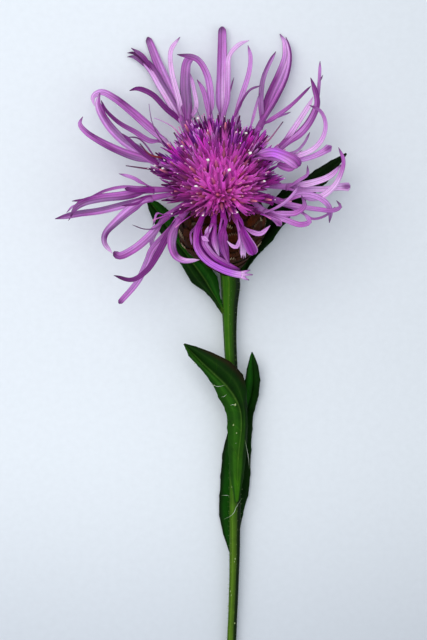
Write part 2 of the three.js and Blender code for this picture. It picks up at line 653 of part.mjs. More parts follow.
// The dense core that the florets stand out of, as [radius, distance from the mouth].
const DISC_CORE = [[0, 0], [2.9, 0], [2.9, 1.4], [3.6, 2.8], [4.8, 5.2], [4.6, 7.2], [2.8, 8.4], [0, 8.8]];
const DISC_CORE_SIDES = 18;
const DISC_FOOT = { height: 2.2, spread: 1.6 }; // where the tubes begin inside the core
const LEAN_FRONT = THREE.MathUtils.degToRad(84); // how far the outermost florets lean, on each side
const LEAN_BACK = THREE.MathUtils.degToRad(46);
const GOLDEN_TURN = Math.PI * (3 - Math.sqrt(5));
const DISC_LOBES = 3;
const DISC_LOBE_LENGTH = 4.2;
const DISC_LOBE_SPREAD = 0.34; // how far a lobe's tip leans out, for each mm of its length
const DISC_TUBE = { root: 0.26, mouth: 0.44 };

/**
 * One disc floret: a slim tube whose mouth splits into narrow pointed lobes. Each lobe is a pyramid that
 * stands on one side of the mouth.
 */
function discFloret(i) {
  const turn = i * GOLDEN_TURN;
  const towardsFront = (1 + Math.sin(turn)) / 2;
  const leanLimit = THREE.MathUtils.lerp(LEAN_BACK, LEAN_FRONT, towardsFront);
  const share = (i + 0.5) / DISC_FLORET_COUNT;
  const outward = headDirection(Math.acos(1 - share * (1 - Math.cos(leanLimit))), turn);
  const length = THREE.MathUtils.lerp(DISC_LENGTH.back, DISC_LENGTH.front, towardsFront);
  const reach = length * (0.9 + 0.12 * scatter(i, 2));
  const foot = HEAD_MOUTH.clone()
    .addScaledVector(HEAD_AXIS, DISC_FOOT.height)
    .addScaledVector(headDirection(Math.PI / 2, turn), DISC_FOOT.spread * share);
  const split = HEAD_MOUTH.clone().addScaledVector(outward, reach - DISC_LOBE_LENGTH);
  const { right, up } = across(outward, 2 * Math.PI * scatter(i, 3));
  const side = (k) => {
    const around = (-2 * Math.PI * k) / DISC_LOBES;
    return right.clone().multiplyScalar(Math.cos(around)).addScaledVector(up, Math.sin(around));
  };
  const corners = [];
  for (let k = 0; k < DISC_LOBES; k++) corners.push(foot.clone().addScaledVector(side(k), DISC_TUBE.root));
  for (let k = 0; k < DISC_LOBES; k++) corners.push(split.clone().addScaledVector(side(k), DISC_TUBE.mouth));
  for (let k = 0; k < DISC_LOBES; k++) {
    const tipLength = DISC_LOBE_LENGTH * (0.75 + 0.3 * scatter(i + 7 * k, 4));
    const tip = split.clone().addScaledVector(outward, tipLength);
    corners.push(tip.addScaledVector(side(k + 0.5), tipLength * DISC_LOBE_SPREAD));
  }
  const [bottom, middle] = [3 * DISC_LOBES, 3 * DISC_LOBES + 1];
  corners.push(foot, split.clone().addScaledVector(outward, DISC_TUBE.mouth));
  const index = [];
  for (let k = 0; k < DISC_LOBES; k++) {
    const next = (k + 1) % DISC_LOBES;
    const [a, b, c, d] = [k, next, DISC_LOBES + k, DISC_LOBES + next];
    const tip = 2 * DISC_LOBES + k;
    index.push(bottom, b, a, a, b, d, a, d, c, c, d, tip, d, middle, tip, middle, c, tip);
  }
  return solidOf(new THREE.BufferGeometry().setFromPoints(corners).setIndex(index));
}

/** The brush of disc florets on its core, without those that would run into a ray floret. */
function discFlorets(rays) {
  const pieces = [turned(DISC_CORE, HEAD_MOUTH, DISC_CORE_SIDES)];
  for (let i = 0; i < DISC_FLORET_COUNT; i++) {
    const floret = discFloret(i);
    if (floret.minGap(rays, 2 * GAP) > GAP / 2) pieces.push(floret);
  }
  return joined(pieces);
}

// ---------------------------------------------------------------- the flower

/** A plain finish. */
function finish(colour, roughness) {
  return new THREE.MeshStandardMaterial({ color: colour, roughness, metalness: 0 });
}

const flower = new THREE.Group();
const rays = rayFlorets();
flower.add(meshOf("stem", stem(), finish("#4b8719", 0.6)));
for (const [name, shape] of Object.entries(LEAVES)) {
  flower.add(meshOf(name, leaf(shape), finish("#1b4a12", 0.55)));
}
flower.add(meshOf("involucre", involucre(), finish("#4a2a10", 0.8)));
flower.add(meshOf("ray_florets", rays, finish("#b06fc4", 0.6)));
flower.add(meshOf("disc_florets", discFlorets(rays), finish("#9a2191", 0.65)));

export default flower;
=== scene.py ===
"""A cut purple cornflower (meadow knapweed) lying on a pale surface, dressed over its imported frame.

Every length in this file is in millimetres until a mesh is made. Blender works in metres.
"""
import logging
import math
from dataclasses import dataclass
from enum import Enum
from typing import Dict, List, Optional, Sequence, Tuple, Union

import bmesh
import bpy
import numpy as np
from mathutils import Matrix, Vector


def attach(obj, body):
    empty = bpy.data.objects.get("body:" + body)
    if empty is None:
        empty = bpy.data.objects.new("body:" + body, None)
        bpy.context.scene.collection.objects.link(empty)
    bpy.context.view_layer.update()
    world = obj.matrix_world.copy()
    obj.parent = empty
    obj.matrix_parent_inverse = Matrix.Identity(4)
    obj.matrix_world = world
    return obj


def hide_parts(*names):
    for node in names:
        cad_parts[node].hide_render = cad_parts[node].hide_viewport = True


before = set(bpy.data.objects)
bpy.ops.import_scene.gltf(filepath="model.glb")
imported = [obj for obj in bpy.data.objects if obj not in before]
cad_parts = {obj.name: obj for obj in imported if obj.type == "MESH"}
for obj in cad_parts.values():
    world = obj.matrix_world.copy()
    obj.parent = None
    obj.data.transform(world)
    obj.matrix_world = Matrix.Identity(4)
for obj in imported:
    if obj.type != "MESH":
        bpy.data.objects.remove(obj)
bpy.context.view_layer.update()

log = logging.getLogger("cornflower")

METRES = 0.001
UP = np.array([0.0, 0.0, 1.0])
LOWEST_HEIGHT = 0.03  # nothing dips below this height over the surface
GOLDEN_TURN = math.pi * (3 - math.sqrt(5))  # from one disc floret to the next, in radians

Pair = Tuple[float, float]
Place = Tuple[float, float, float]
Curve = Tuple[Tuple[float, ...], Tuple[float, ...]]  # where it is read, and its value there
Array = np.ndarray
Amount = Union[Array, float]
Socket = bpy.types.NodeSocket
Layers = Tuple[Socket, Socket, Socket]


# ---- places and numbers

@dataclass(frozen=True)
class Picture:
    """The plane on which the flower was traced, x to the right and y down, in pixels."""

    mm_per_px: float = 49.2 / 295
    middle_x: float = 202.5
    middle_y: float = 358.0

    def at(self, px: float, py: float, height: float) -> Array:
        """The point over a pixel, at a height over the surface in millimetres."""
        across = (px - self.middle_x) * self.mm_per_px
        return np.array([across, (self.middle_y - py) * self.mm_per_px, height])

    def points(self, places: Sequence[Place]) -> List[Array]:
        """Several (px, py, height) places as points."""
        return [self.at(*place) for place in places]


PICTURE = Picture()


def unit(vector: Array) -> Array:
    """The vector, or each row of several, at length 1."""
    return vector / np.maximum(np.linalg.norm(vector, axis=-1, keepdims=True), 1e-12)


def smooth(low: float, high: float, value: Array) -> Array:
    """A soft step from 0 at low to 1 at high."""
    t = np.clip((np.asarray(value, float) - low) / (high - low), 0.0, 1.0)
    return t * t * (3 - 2 * t)


def scatter(i: int, seed: float) -> float:
    """A number from 0 to 1 that jumps about evenly with i, in another order for each seed."""
    return (i * (0.6180339887 + 0.1371 * seed) + 0.37 * seed) % 1.0


def turned(a: Array, b: Array, angle: float) -> Array:
    """The direction at an angle from a towards b."""
    return a * math.cos(angle) + b * math.sin(angle)


def ring_turns(sides: int) -> Array:
    """Even angles round a ring, in radians."""
    return np.arange(sides) * 2 * math.pi / sides


def spokes(right: Array, up: Array, turns: Array) -> Array:
    """The directions at angles from right towards up, a row of them for each pair."""
    right, up, turns = right[..., None, :], up[..., None, :], turns[..., None]
    return right * np.cos(turns) + up * np.sin(turns)


@dataclass(frozen=True)
class Head:
    """The axis of the flower head, from the base of the involucre to its mouth."""

    length: float = 15.86
    base_place: Place = (230.0, 278.0, 2.85)
    mouth_px: Pair = (221.0, 196.0)

    @property
    def base(self) -> Array:
        """The middle of the involucre's base."""
        return PICTURE.at(*self.base_place)

    @property
    def mouth(self) -> Array:
        """The middle of the involucre's mouth."""
        across = PICTURE.at(*self.mouth_px, 0) - PICTURE.at(*self.base_place[:2], 0)
        return self.base + across + UP * math.sqrt(self.length ** 2 - float(across @ across))

    @property
    def axis(self) -> Array:
        """The direction from the base to the mouth."""
        return unit(self.mouth - self.base)

    @property
    def side(self) -> Array:
        """The level direction across the axis, to the right."""
        return unit(np.cross(self.axis, UP))

    @property
    def front(self) -> Array:
        """The direction across the axis that faces up from the surface."""
        return unit(np.cross(self.side, self.axis))

    def direction(self, lean: float, turn: float) -> Array:
        """The direction that leans from the axis by one angle, on the side that the other gives."""
        return turned(self.axis, turned(self.side, self.front, turn), lean)


HEAD = Head()


class Path:
    """A smooth line through points, read by the share of its length."""

    # A tangent is read between points this near, as a share of the length and in millimetres.
    near_share, near_mm = 0.02, 0.35

    def __init__(self, places: Sequence[Array], fineness: int = 24) -> None:
        """Lays the line.

        Args:
            places: The points that it passes, at least two.
            fineness: How many samples each stretch gets.
        """
        places = np.array(places, float)
        ends = (2 * places[0] - places[1], 2 * places[-1] - places[-2])
        padded = np.vstack([ends[0], places, ends[1]])
        shares = np.linspace(0, 1, fineness, endpoint=False)
        stretches = [self.stretch(padded[i:i + 4], shares) for i in range(len(places) - 1)]
        self.line = np.vstack([*stretches, places[-1:]])
        steps = np.linalg.norm(np.diff(self.line, axis=0), axis=1)
        self.along = np.concatenate([[0.0], np.cumsum(steps)])
        self.length = float(self.along[-1])

    @staticmethod
    def stretch(four: Array, shares: Array) -> Array:
        """Lays one centripetal stretch between the middle two of four points.

        Args:
            four: The points.
            shares: Where it is read, from 0 to 1.

        Returns:
            A point for each share.
        """
        before, start, end, after = four
        d0, d1, d2 = (max(np.linalg.norm(four[i + 1] - four[i]), 1e-9) ** 0.5 for i in range(3))
        t1 = ((start - before) / d0 - (end - before) / (d0 + d1) + (end - start) / d1) * d1
        t2 = ((end - start) / d1 - (after - start) / (d1 + d2) + (after - end) / d2) * d1
        s = shares[:, None]
        cubic = 2 * start - 2 * end + t1 + t2
        square = -3 * start + 3 * end - 2 * t1 - t2
        return start + t1 * s + square * s ** 2 + cubic * s ** 3

    def places(self, shares: Array) -> Array:
        """The points at shares of the length."""
        at = np.clip(np.asarray(shares, float), 0, 1) * self.length
        return np.stack([np.interp(at, self.along, self.line[:, k]) for k in range(3)], axis=-1)

    def tangents(self, shares: Array) -> Array:
        """The directions of travel at shares of the length."""
        step = min(self.near_share, self.near_mm / self.length)
        return unit(self.places(shares + step) - self.places(shares - step))

    def evenly(self, step: float, least: int = 6) -> Array:
        """Even shares of the length, about a step apart."""
        return np.linspace(0, 1, max(least, round(self.length / step)) + 1)


def bowed(start: Array, end: Array, lift: Amount = 0.0) -> Path:
    """A short line between two points, its middle moved by lift."""
    return Path([start, (start + end) / 2 + lift, end])


def across(tangents: Array, roll: Amount = 0.0) -> Tuple[Array, Array]:
    """Finds the directions to the right and upwards of a line of travel.

    Args:
        tangents: Directions of travel, one a row.
        roll: How far each pair is turned about its tangent, in radians.

    Returns:
        The directions to the right, and those upwards.
    """
    right = unit(np.cross(tangents, UP))
    up = np.cross(right, tangents)
    c, s = (np.broadcast_to(wave(roll), len(tangents))[:, None] for wave in (np.cos, np.sin))
    return right * c + up * s, up * c - right * s


# ---- colours

class Tone(Enum):
    """The flower's colours as they look, red, green and blue from 0 to 255; some are lit and shaded
    versions of one colour, for painted light and painted shade.
    """

    PALE = (239, 194, 246)
    LILAC = (212, 150, 222)
    ORCHID = (186, 108, 191)
    GREY = (154, 109, 164)
    PLUM = (126, 50, 130)
    DARK = (80, 34, 82)
    VIOLET = (204, 112, 233)
    MAGENTA = (152, 42, 152)
    HOT_MAGENTA = (255, 116, 232)
    FUCHSIA = (214, 58, 202)
    CERISE = (176, 20, 144)
    PURPLE = (152, 38, 164)
    MAUVE = (196, 84, 200)
    CURRANT = (92, 4, 72)
    PEACH = (236, 128, 150)
    WINE = (120, 10, 70)
    ROSE = (222, 140, 190)
    DEEP_PURPLE = (92, 16, 98)
    ROYAL = (128, 48, 172)
    COLUMN = (78, 8, 62)
    RUST = (142, 48, 50)
    POLLEN = (250, 246, 240)
    BRACT_DARK = (15, 4, 0)
    BRACT_RED = (70, 27, 3)
    BRACT_OLIVE = (38, 38, 4)
    BRACT_TAN = (232, 212, 172)
    STEM_LIT = (50, 102, 8)
    STEM_SHADE = (6, 26, 0)
    STEM_OLIVE = (78, 112, 22)
    STEM_YELLOW = (112, 144, 44)
    LEAF_DARK = (6, 36, 0)
    LEAF_BLACK = (4, 20, 0)
    LEAF_MID = (12, 60, 2)
    LEAF_LIT = (24, 65, 6)
    LEAF_RIM = (84, 124, 46)
    LEAF_BROWN = (30, 22, 8)
    CRUMB = (178, 192, 142)
    WEB = (232, 236, 226)

    @property
    def linear(self) -> Array:
        """The colour as linear light."""
        shares = np.array(self.value) / 255.0
        return np.where(shares > 0.04045, ((shares + 0.055) / 1.055) ** 2.4, shares / 12.92)


Paint = Union[Tone, Array]


def blended(tones: Sequence[Tone], shares: Array) -> Array:
    """Blends a run of tones that are spread evenly from 0 to 1.

    Args:
        tones: The tones in order.
        shares: Where the run is read.

    Returns:
        A linear colour for each share.
    """
    stops = np.linspace(0, 1, len(tones))
    table = np.array([tone.linear for tone in tones])
    return np.stack([np.interp(shares, stops, table[:, k]) for k in range(3)], axis=-1)


def mixed(a: Paint, b: Paint, share: Amount) -> Array:
    """Mixes two colours.

    Args:
        a: A tone, or linear colours.
        b: The other.
        share: How much of b there is at each point.

    Returns:
        Linear colours.
    """
    a, b = (paint.linear if isinstance(paint, Tone) else paint for paint in (a, b))
    share = np.asarray(share, float)[..., None]
    return a * (1 - share) + b * share


def picked(tones: Sequence[Tone], i: int, seed: float) -> Tone:
    """One of several tones, by a number and a seed."""
    return tones[int(scatter(i, seed) * len(tones))]


# ---- meshes

class Sketch:
    """The points, faces and paint of one piece before it becomes a mesh.

    Each point has a tint, its own colour, and a grain: its place across the blade from -1 to 1, its
    distance along it, and a number that tells one blade from the next.
    """

    def __init__(self, name: str) -> None:
        """Starts an empty piece.

        Args:
            name: Its name.
        """
        self.name = name
        self.points: List[Array] = []
        self.tints: List[Array] = []
        self.grains: List[Array] = []
        self.faces: List[Tuple[int, ...]] = []
        self.count = 0

    def skin(self, rings: Array, tints: Array, *grain: Amount) -> None:
        """Adds a closed skin over rings of points, with a ladder of faces over each end.

        Args:
            rings: Points as (rings, points in a ring, 3). The ring has an even number of points.
            tints: A linear colour for each point.
            *grain: The grain's places across, distances along, and number.
        """
        rows, size = rings.shape[:2]
        first, last = self.count, self.count + (rows - 1) * size
        for low in range(first, last, size):
            for j in range(size):
                k = (j + 1) % size
                self.faces.append((low + j, low + k, low + size + k, low + size + j))
        for j in range(size // 2 - 1):
            rung = (j, j + 1, size - 2 - j, size - 1 - j)
            self.faces.append(tuple(first + k for k in reversed(rung)))
            self.faces.append(tuple(last + k for k in rung))
        grains = np.zeros(rings.shape)
        for k, value in enumerate(grain):
            grains[..., k] = value
        self.points.append(rings.reshape(-1, 3))
        self.tints.append(np.broadcast_to(tints, rings.shape).reshape(-1, 3))
        self.grains.append(grains.reshape(-1, 3))
        self.count += rows * size

    def sheet(self, top: Array, under: Array, tints: Array, column: Array,
              along: Array, number: float, shade: float = 1.0) -> None:
        """Adds a thin sheet as one closed skin.

        Args:
            top: The points of its upper side, as (rows, columns, 3).
            under: Those of its underside, in the same order.
            tints: A linear colour for each point of the upper side.
            column: Each column's place across.
            along: Each row's distance along.
            number: The number that its grain carries.
            shade: How bright the underside is beside the upper side.
        """
        rings = np.concatenate([top, under[:, ::-1]], axis=1)
        tints = np.concatenate([tints, tints[:, ::-1] * shade], axis=1)
        self.skin(rings, tints, np.concatenate([column, column[::-1]]), along[:, None], number)

    def piece(self, finish: "Finish", slot: str, node: Optional[str] = None) -> None:
        """Makes the mesh, dresses it and hangs it on the frame.

        Args:
            finish: What it is dressed in.
            slot: A material slot's name; not used.
            node: The solid that it stands for, if it does.
        """
        points = np.vstack(self.points)
        points[:, 2] = np.maximum(points[:, 2], LOWEST_HEIGHT)
        mesh = bpy.data.meshes.new(self.name)
        mesh.from_pydata((points * METRES).tolist(), [], self.faces)
        shell = bmesh.new()
        shell.from_mesh(mesh)
        bmesh.ops.recalc_face_normals(shell, faces=shell.faces)
        shell.to_mesh(mesh)
        shell.free()
        tints = np.hstack([np.vstack(self.tints), np.ones((len(points), 1))])
        layers = (("tint", "FLOAT_COLOR", "color", tints),
                  ("grain", "FLOAT_VECTOR", "vector", np.vstack(self.grains)))
        for name, kind, field, values in layers:
            layer = mesh.attributes.new(name, kind, "POINT")
            layer.data.foreach_set(field, values.astype(np.float32).ravel())
        mesh.polygons.foreach_set("use_smooth", [True] * len(mesh.polygons))
        mesh.materials.append(finish.material())
        made = bpy.data.objects.new(self.name, mesh)
        bpy.context.scene.collection.objects.link(made)
        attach(made, "root")
        if node is not None:
            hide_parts(node)
        log.info("%s: %d points, %d faces", self.name, len(points), len(self.faces))


def rod(sketch: Sketch, path: Path, radii: Sequence[float], tones: Sequence[Tone],
        sides: int = 8, steps: int = 8, seed: float = 0.0) -> None:
    """Adds a round tapering rod along a path.

    Args:
        sketch: The piece that it joins.
        path: Its middle line.
        radii: Its radius at even shares of its length.
        tones: Its colours at even shares of its length.
        sides: How many sides it has, an even number.
        steps: How many stretches it has.
        seed: The number that its grain carries.
    """
    shares = np.linspace(0, 1, steps + 1)
    tangents, turns = path.tangents(shares), ring_turns(sides)
    helper = np.where(abs(tangents @ UP)[:, None] > 0.95, HEAD.side, UP)
    right = unit(np.cross(tangents, helper))
    out = spokes(right, np.cross(right, tangents), turns)
    radius = np.interp(shares, np.linspace(0, 1, len(radii)), radii)
    rings = path.places(shares)[:, None] + out * radius[:, None, None]
    tints = blended(tones, shares)[:, None]
    sketch.skin(rings, tints, np.cos(turns), (shares * path.length)[:, None], seed)


# ---- finishes

class Bench:
    """A material's node tree while it is put together."""

    def __init__(self, name: str) -> None:
        """Starts an empty material.

        Args:
            name: Its name.
        """
        self.made = bpy.data.materials.new(name)
        self.made.use_nodes = True
        self.tree = self.made.node_tree
        self.tree.nodes.clear()

    def node(self, kind: str, inputs: Dict[object, object], **settings: object) -> bpy.types.Node:
        """Adds a node.

        Args:
            kind: The node's type name.
            inputs: Values or other nodes' outputs for its sockets, by name or number.
            **settings: Its own properties.

        Returns:
            The new node.
        """
        made = self.tree.nodes.new(kind)
        for key, value in settings.items():
            setattr(made, key, value)
        for key, value in inputs.items():
            if isinstance(value, Socket):
                self.tree.links.new(value, made.inputs[key])
            elif value is not None:
                made.inputs[key].default_value = value
        return made

    def math(self, operation: str, a: object, b: object = None, c: object = None) -> Socket:
        """The result of a sum on sockets or numbers."""
        return self.node("ShaderNodeMath", {0: a, 1: b, 2: c}, operation=operation).outputs[0]

    def total(self, start: float, *terms: Tuple[Socket, float]) -> Socket:
        """Adds up channels.

        Args:
            start: A number to begin with.
            *terms: The channels, each with its weight.

        Returns:
            The sum.
        """
        value = start
        for channel, weight in terms:
            value = self.math("MULTIPLY_ADD", channel, weight, value)
        return value

    def place(self) -> Socket:
        """The place on the object, in metres."""
        return self.node("ShaderNodeTexCoord", {}).outputs["Object"]

    def tint(self) -> Socket:
        """The paint of each point."""
        return self.node("ShaderNodeAttribute", {}, attribute_name="tint").outputs["Color"]

    def grain(self) -> Tuple[Socket, ...]:
        """The grain: across, along, and the blade's own number."""
        vector = self.node("ShaderNodeAttribute", {}, attribute_name="grain").outputs["Vector"]
        return tuple(self.node("ShaderNodeSeparateXYZ", {0: vector}).outputs)

    def vector(self, x: object, y: object, z: object) -> Socket:
        """Three sockets or numbers as one vector."""
        return self.node("ShaderNodeCombineXYZ", {0: x, 1: y, 2: z}).outputs[0]

    def noise(self, scale: float, detail: float, vector: Optional[Socket] = None) -> Socket:
        """Soft noise from 0 to 1, over the object where no vector is given."""
        inputs = {"Vector": self.place() if vector is None else vector,
                  "Scale": scale, "Detail": detail, "Roughness": 0.55}
        return self.node("ShaderNodeTexNoise", inputs).outputs["Fac"]

    def streaks(self, across: float, along: float, scale: float, detail: float) -> Socket:
        """Makes noise that is drawn out along the grain.

        Args:
            across: How fast it changes from edge to edge.
            along: How fast it changes along the grain.
            scale: The noise's scale.
            detail: How many finer layers it has.

        Returns:
            The noise, from 0 to 1.
        """
        x, y, own = self.grain()
        x, y = self.math("MULTIPLY", x, across), self.math("MULTIPLY", y, along)
        return self.noise(scale, detail, self.vector(x, y, own))

    def between(self, value: Socket, low: float, high: float, to_low: float = 0.0,
                to_high: float = 1.0, kind: str = "LINEAR") -> Socket:
        """A value mapped from one range to another, and held within it."""
        inputs = dict(zip(("Value", "From Min", "From Max", "To Min", "To Max"),
                          (value, low, high, to_low, to_high)))
        return self.node("ShaderNodeMapRange", inputs, interpolation_type=kind).outputs[0]

    def spread(self, noise: Socket, to_low: float, to_high: float) -> Socket:
        """The middle part of a noise, mapped to a range."""
        return self.between(noise, 0.3, 0.7, to_low, to_high)

    def mix(self, share: object, a: object, b: object, blend: str = "MIX") -> Socket:
        """Two colours mixed by a share."""
        inputs = {0: share, 6: a, 7: b}
        return self.node("ShaderNodeMix", inputs, data_type="RGBA", blend_type=blend).outputs[2]

    def shaded(self, colour: object, factor: Socket) -> Socket:
        """A colour times a grey factor."""
        return self.mix(1.0, colour, self.vector(factor, factor, factor), "MULTIPLY")


@dataclass(frozen=True)
class Finish:
    """What a piece is dressed in. Each kind makes its material once."""

    name: str = "finish"
    # Its roughness from low to high, its relief's strength and depth, and its specular level.
    roughness: Pair = (0.5, 0.6)
    relief: Pair = (0.5, 0.05)
    specular: float = 0.1

    def layers(self, bench: Bench) -> Layers:
        """Makes the channels that the surface reads.

        Args:
            bench: The node tree that they are made in.

        Returns:
            The colour, the height of the relief, and the noise that the roughness follows.
        """
        raise NotImplementedError

    def softness(self) -> Dict[str, object]:
        """Further sockets of the surface, by name."""
        return {}

    def material(self) -> bpy.types.Material:
        """Gives the finish's material, which is made at its first use.

        Returns:
            The material.
        """
        found = bpy.data.materials.get(self.name)
        if found:
            return found
        bench = Bench(self.name)
        colour, height, wear = self.layers(bench)
        strength, depth = self.relief
        bump = bench.node("ShaderNodeBump", {
            "Height": height, "Strength": strength, "Distance": depth * METRES,
        })
        shader = bench.node("ShaderNodeBsdfPrincipled", {
            "Base Color": colour,
            "Roughness": bench.spread(wear, *self.roughness),
            "Normal": bump.outputs["Normal"],
            "Specular IOR Level": self.specular,
            **self.softness(),
        })
        bench.node("ShaderNodeOutputMaterial", {0: shader.outputs[0]})
        return bench.made


@dataclass(frozen=True)
class PetalFinish(Finish):
    """Thin velvety petal with fine veins along it."""

    name: str = "petal"
    roughness: Pair = (0.42, 0.6)
    relief: Pair = (0.55, 0.05)
    specular: float = 0.14
    veins: float = 11.0
    vein_depth: float = 0.34
    mottle: float = 0.26
    glow: float = 0.25
    warm: Tuple[float, ...] = (1.12, 0.82, 0.98, 1.0)

    def layers(self, bench: Bench) -> Layers:
        """Veins follow the grain; the mottle and the cells follow the object.

        Args:
            bench: The node tree.

        Returns:
            The surface's channels.
        """
        streak = bench.streaks(1.6, 0.22, 2.0, 2.0)
        wave = bench.math("COSINE", bench.total(0.0, (streak, 3.0), (bench.grain()[0], self.veins)))
        vein = bench.math("POWER", bench.between(wave, -1, 1), 3.0)
        cells, patches = bench.noise(5200.0, 1.0), bench.noise(520.0, 2.0)
        light = bench.total(1.0 + self.mottle / 2, (vein, -self.vein_depth),
                            (patches, -self.mottle), (bench.spread(cells, -0.04, 0.06), 1.0))
        colour = bench.shaded(bench.tint(), light)
        warm = bench.mix(1.0, colour, self.warm, "MULTIPLY")
        colour = bench.mix(bench.between(streak, 0.45, 0.7, 0.0, 0.7), colour, warm)
        return colour, bench.total(0.0, (vein, -0.8), (cells, 0.35)), patches

    def softness(self) -> Dict[str, object]:
        """A faint nap, and light that passes through the petal.

        Returns:
            The sockets' values by name.
        """
        return {
            "Sheen Weight": 0.05,
            "Sheen Roughness": 0.4,
            "Subsurface Weight": self.glow,
            "Subsurface Radius": (0.55, 0.25, 0.6),
            "Subsurface Scale": 0.0005,
        }


@dataclass(frozen=True)
class BractFinish(Finish):
    """Dry papery scale with lengthwise streaks."""

    name: str = "bract"
    roughness: Pair = (0.52, 0.82)
    relief: Pair = (0.9, 0.1)
    specular: float = 0.05

    def layers(self, bench: Bench) -> Layers:
        """Streaks follow the grain, with fine specks over them.

        Args:
            bench: The node tree.

        Returns:
            The surface's channels.
        """
        streak, specks = bench.streaks(5.0, 0.5, 1.6, 3.0), bench.noise(3800.0, 2.0)
        light = bench.total(0.0, (bench.spread(streak, 0.5, 1.4), 1.0),
                            (bench.between(specks, 0.35, 0.7, -0.2, 0.4), 1.0))
        height = bench.total(0.0, (streak, 1.0), (specks, 0.4))
        return bench.shaded(bench.tint(), light), height, specks


@dataclass(frozen=True)
class LeafFinish(Finish):
    """Leaf blade with side veins, a fine net and soft blotches."""

    name: str = "leaf"
    roughness: Pair = (0.44, 0.66)
    relief: Pair = (0.6, 0.08)
    specular: float = 0.06
    vein_spacing: float = 3.1
    vein_sweep: float = 2.6
    vein_width: float = 0.16
    vein_light: Tuple[float, ...] = (2.3, 1.7, 2.2, 1.0)

    def layers(self, bench: Bench) -> Layers:
        """The side veins sweep from the midrib to the edge, towards the tip.

        Args:
            bench: The node tree.

        Returns:
            The surface's channels.
        """
        x, y, _ = bench.grain()
        off = bench.math("ABSOLUTE", x)
        blotch = bench.noise(420.0, 3.0)
        sweep = bench.math("POWER", off, 1.3)
        run = bench.total(0.0, (y, 1.0), (sweep, -self.vein_sweep), (blotch, 1.1))
        from_vein = bench.math("PINGPONG", run, self.vein_spacing / 2)
        vein = bench.math("MULTIPLY", bench.between(from_vein, 0.0, self.vein_width, 1.0, 0.0),
                          bench.between(off, 0.55, 1.0, 1.0, 0.1))
        cells = bench.node("ShaderNodeTexVoronoi", {"Vector": bench.place(), "Scale": 2300.0},
                           feature="DISTANCE_TO_EDGE")
        net = bench.between(cells.outputs["Distance"], 0.0, 0.1, 1.0, 0.0)
        colour = bench.shaded(bench.tint(), bench.spread(blotch, 0.72, 1.25))
        bright = bench.mix(1.0, colour, self.vein_light, "MULTIPLY")
        share = bench.math("MAXIMUM", bench.math("MULTIPLY", vein, 0.6),
                           bench.math("MULTIPLY", net, 0.16))
        height = bench.total(0.0, (vein, -1.0), (net, -0.3), (blotch, 1.0))
        return bench.mix(share, colour, bright), height, blotch


@dataclass(frozen=True)
class StemFinish(Finish):
    """Ribbed green stem skin with pale lines and small tan specks."""

    name: str = "stem"
    roughness: Pair = (0.36, 0.58)
    relief: Pair = (0.5, 0.06)
    specular: float = 0.08

    def layers(self, bench: Bench) -> Layers:
        """Pale lines run along the ribs, and specks are scattered over them.

        Args:
            bench: The node tree.

        Returns:
            The surface's channels.
        """
        line, blotch = bench.streaks(7.0, 0.06, 1.5, 3.0), bench.noise(650.0, 3.0)
        speck = bench.between(bench.noise(1500.0, 1.0), 0.71, 0.77, 0.0, 0.55)
        light = bench.math("MULTIPLY", bench.spread(line, 0.72, 1.3),
                           bench.spread(blotch, 0.85, 1.15))
        tan = (*map(float, Tone.STEM_YELLOW.linear), 1.0)
        colour = bench.mix(speck, bench.shaded(bench.tint(), light), tan)
        return colour, bench.total(0.0, (line, 1.0), (blotch, 0.5)), line


@dataclass(frozen=True)
class GrainFinish(Finish):
    """Small dull parts in their own paint: anthers, pollen and web threads."""

    name: str = "grain"
    roughness: Pair = (0.5, 0.75)
    relief: Pair = (0.5, 0.04)
    specular: float = 0.15

    def layers(self, bench: Bench) -> Layers:
        """A fine crumbly texture over the paint.

        Args:
            bench: The node tree.

        Returns:
            The surface's channels.
        """
        crumbs = bench.noise(6000.0, 2.0)
        return bench.shaded(bench.tint(), bench.spread(crumbs, 0.8, 1.15)), crumbs, crumbs


@dataclass(frozen=True)
class FloorFinish(Finish):
    """Matt pale board, with painted shade that greys it a little towards the cut end of the stem and
    to the right.
    """

    name: str = "floor"
    roughness: Pair = (0.8, 0.9)
    relief: Pair = (0.08, 0.05)
    specular: float = 0.2
    near: Tuple[float, ...] = (0.55, 0.585, 0.635, 1.0)
    far: Tuple[float, ...] = (0.79, 0.83, 0.87, 1.0)

    def layers(self, bench: Bench) -> Layers:
        """Painted shade: a slow fade to the right and towards the stem's cut end; and a faint tooth.

        Args:
            bench: The node tree.

        Returns:
            The surface's channels.
        """
        x, y, _ = bench.node("ShaderNodeSeparateXYZ", {0: bench.place()}).outputs
        tooth = bench.noise(900.0, 3.0)
        board = bench.mix(bench.between(y, -0.07, -0.01, kind="SMOOTHSTEP"), self.near, self.far)
        rightward = bench.between(x, -0.02, 0.05, 1.0, 0.87, kind="SMOOTHSTEP")
        light = bench.math("MULTIPLY", rightward, bench.spread(tooth, 0.985, 1.015))
        return bench.shaded(board, light), tooth, tooth


# ---- ray florets

class Tip(Enum):
    """How a lobe ends, with how far back that shapes it, in widths of its tip."""

    POINTED = 3.2
    BLUNT = 0.9
    SPOON = 0.38
    FRAYED = 0.8
    TOOTHED = 0.3


@dataclass(frozen=True)
class Lobe:
    """One strap-like lobe of a ray floret."""

    width: float
    tip_width: float
    path: Tuple[Place, ...]
    # Colours from root to tip; over the petal's own lilac to purple they carry painted light and
    # painted shade: pale and lilac where the lobe faces the light, plum and dark where it is shaded.
    # right_tones, where given, paint the two halves of a lobe folded along its length apart, one lit
    # and one shaded.
    tones: Tuple[Tone, ...]
    right_tones: Tuple[Tone, ...] = ()
    tip: Tip = Tip.POINTED
    dark_tip: bool = True
    from_throat: bool = True
    rim: Optional[Tone] = None


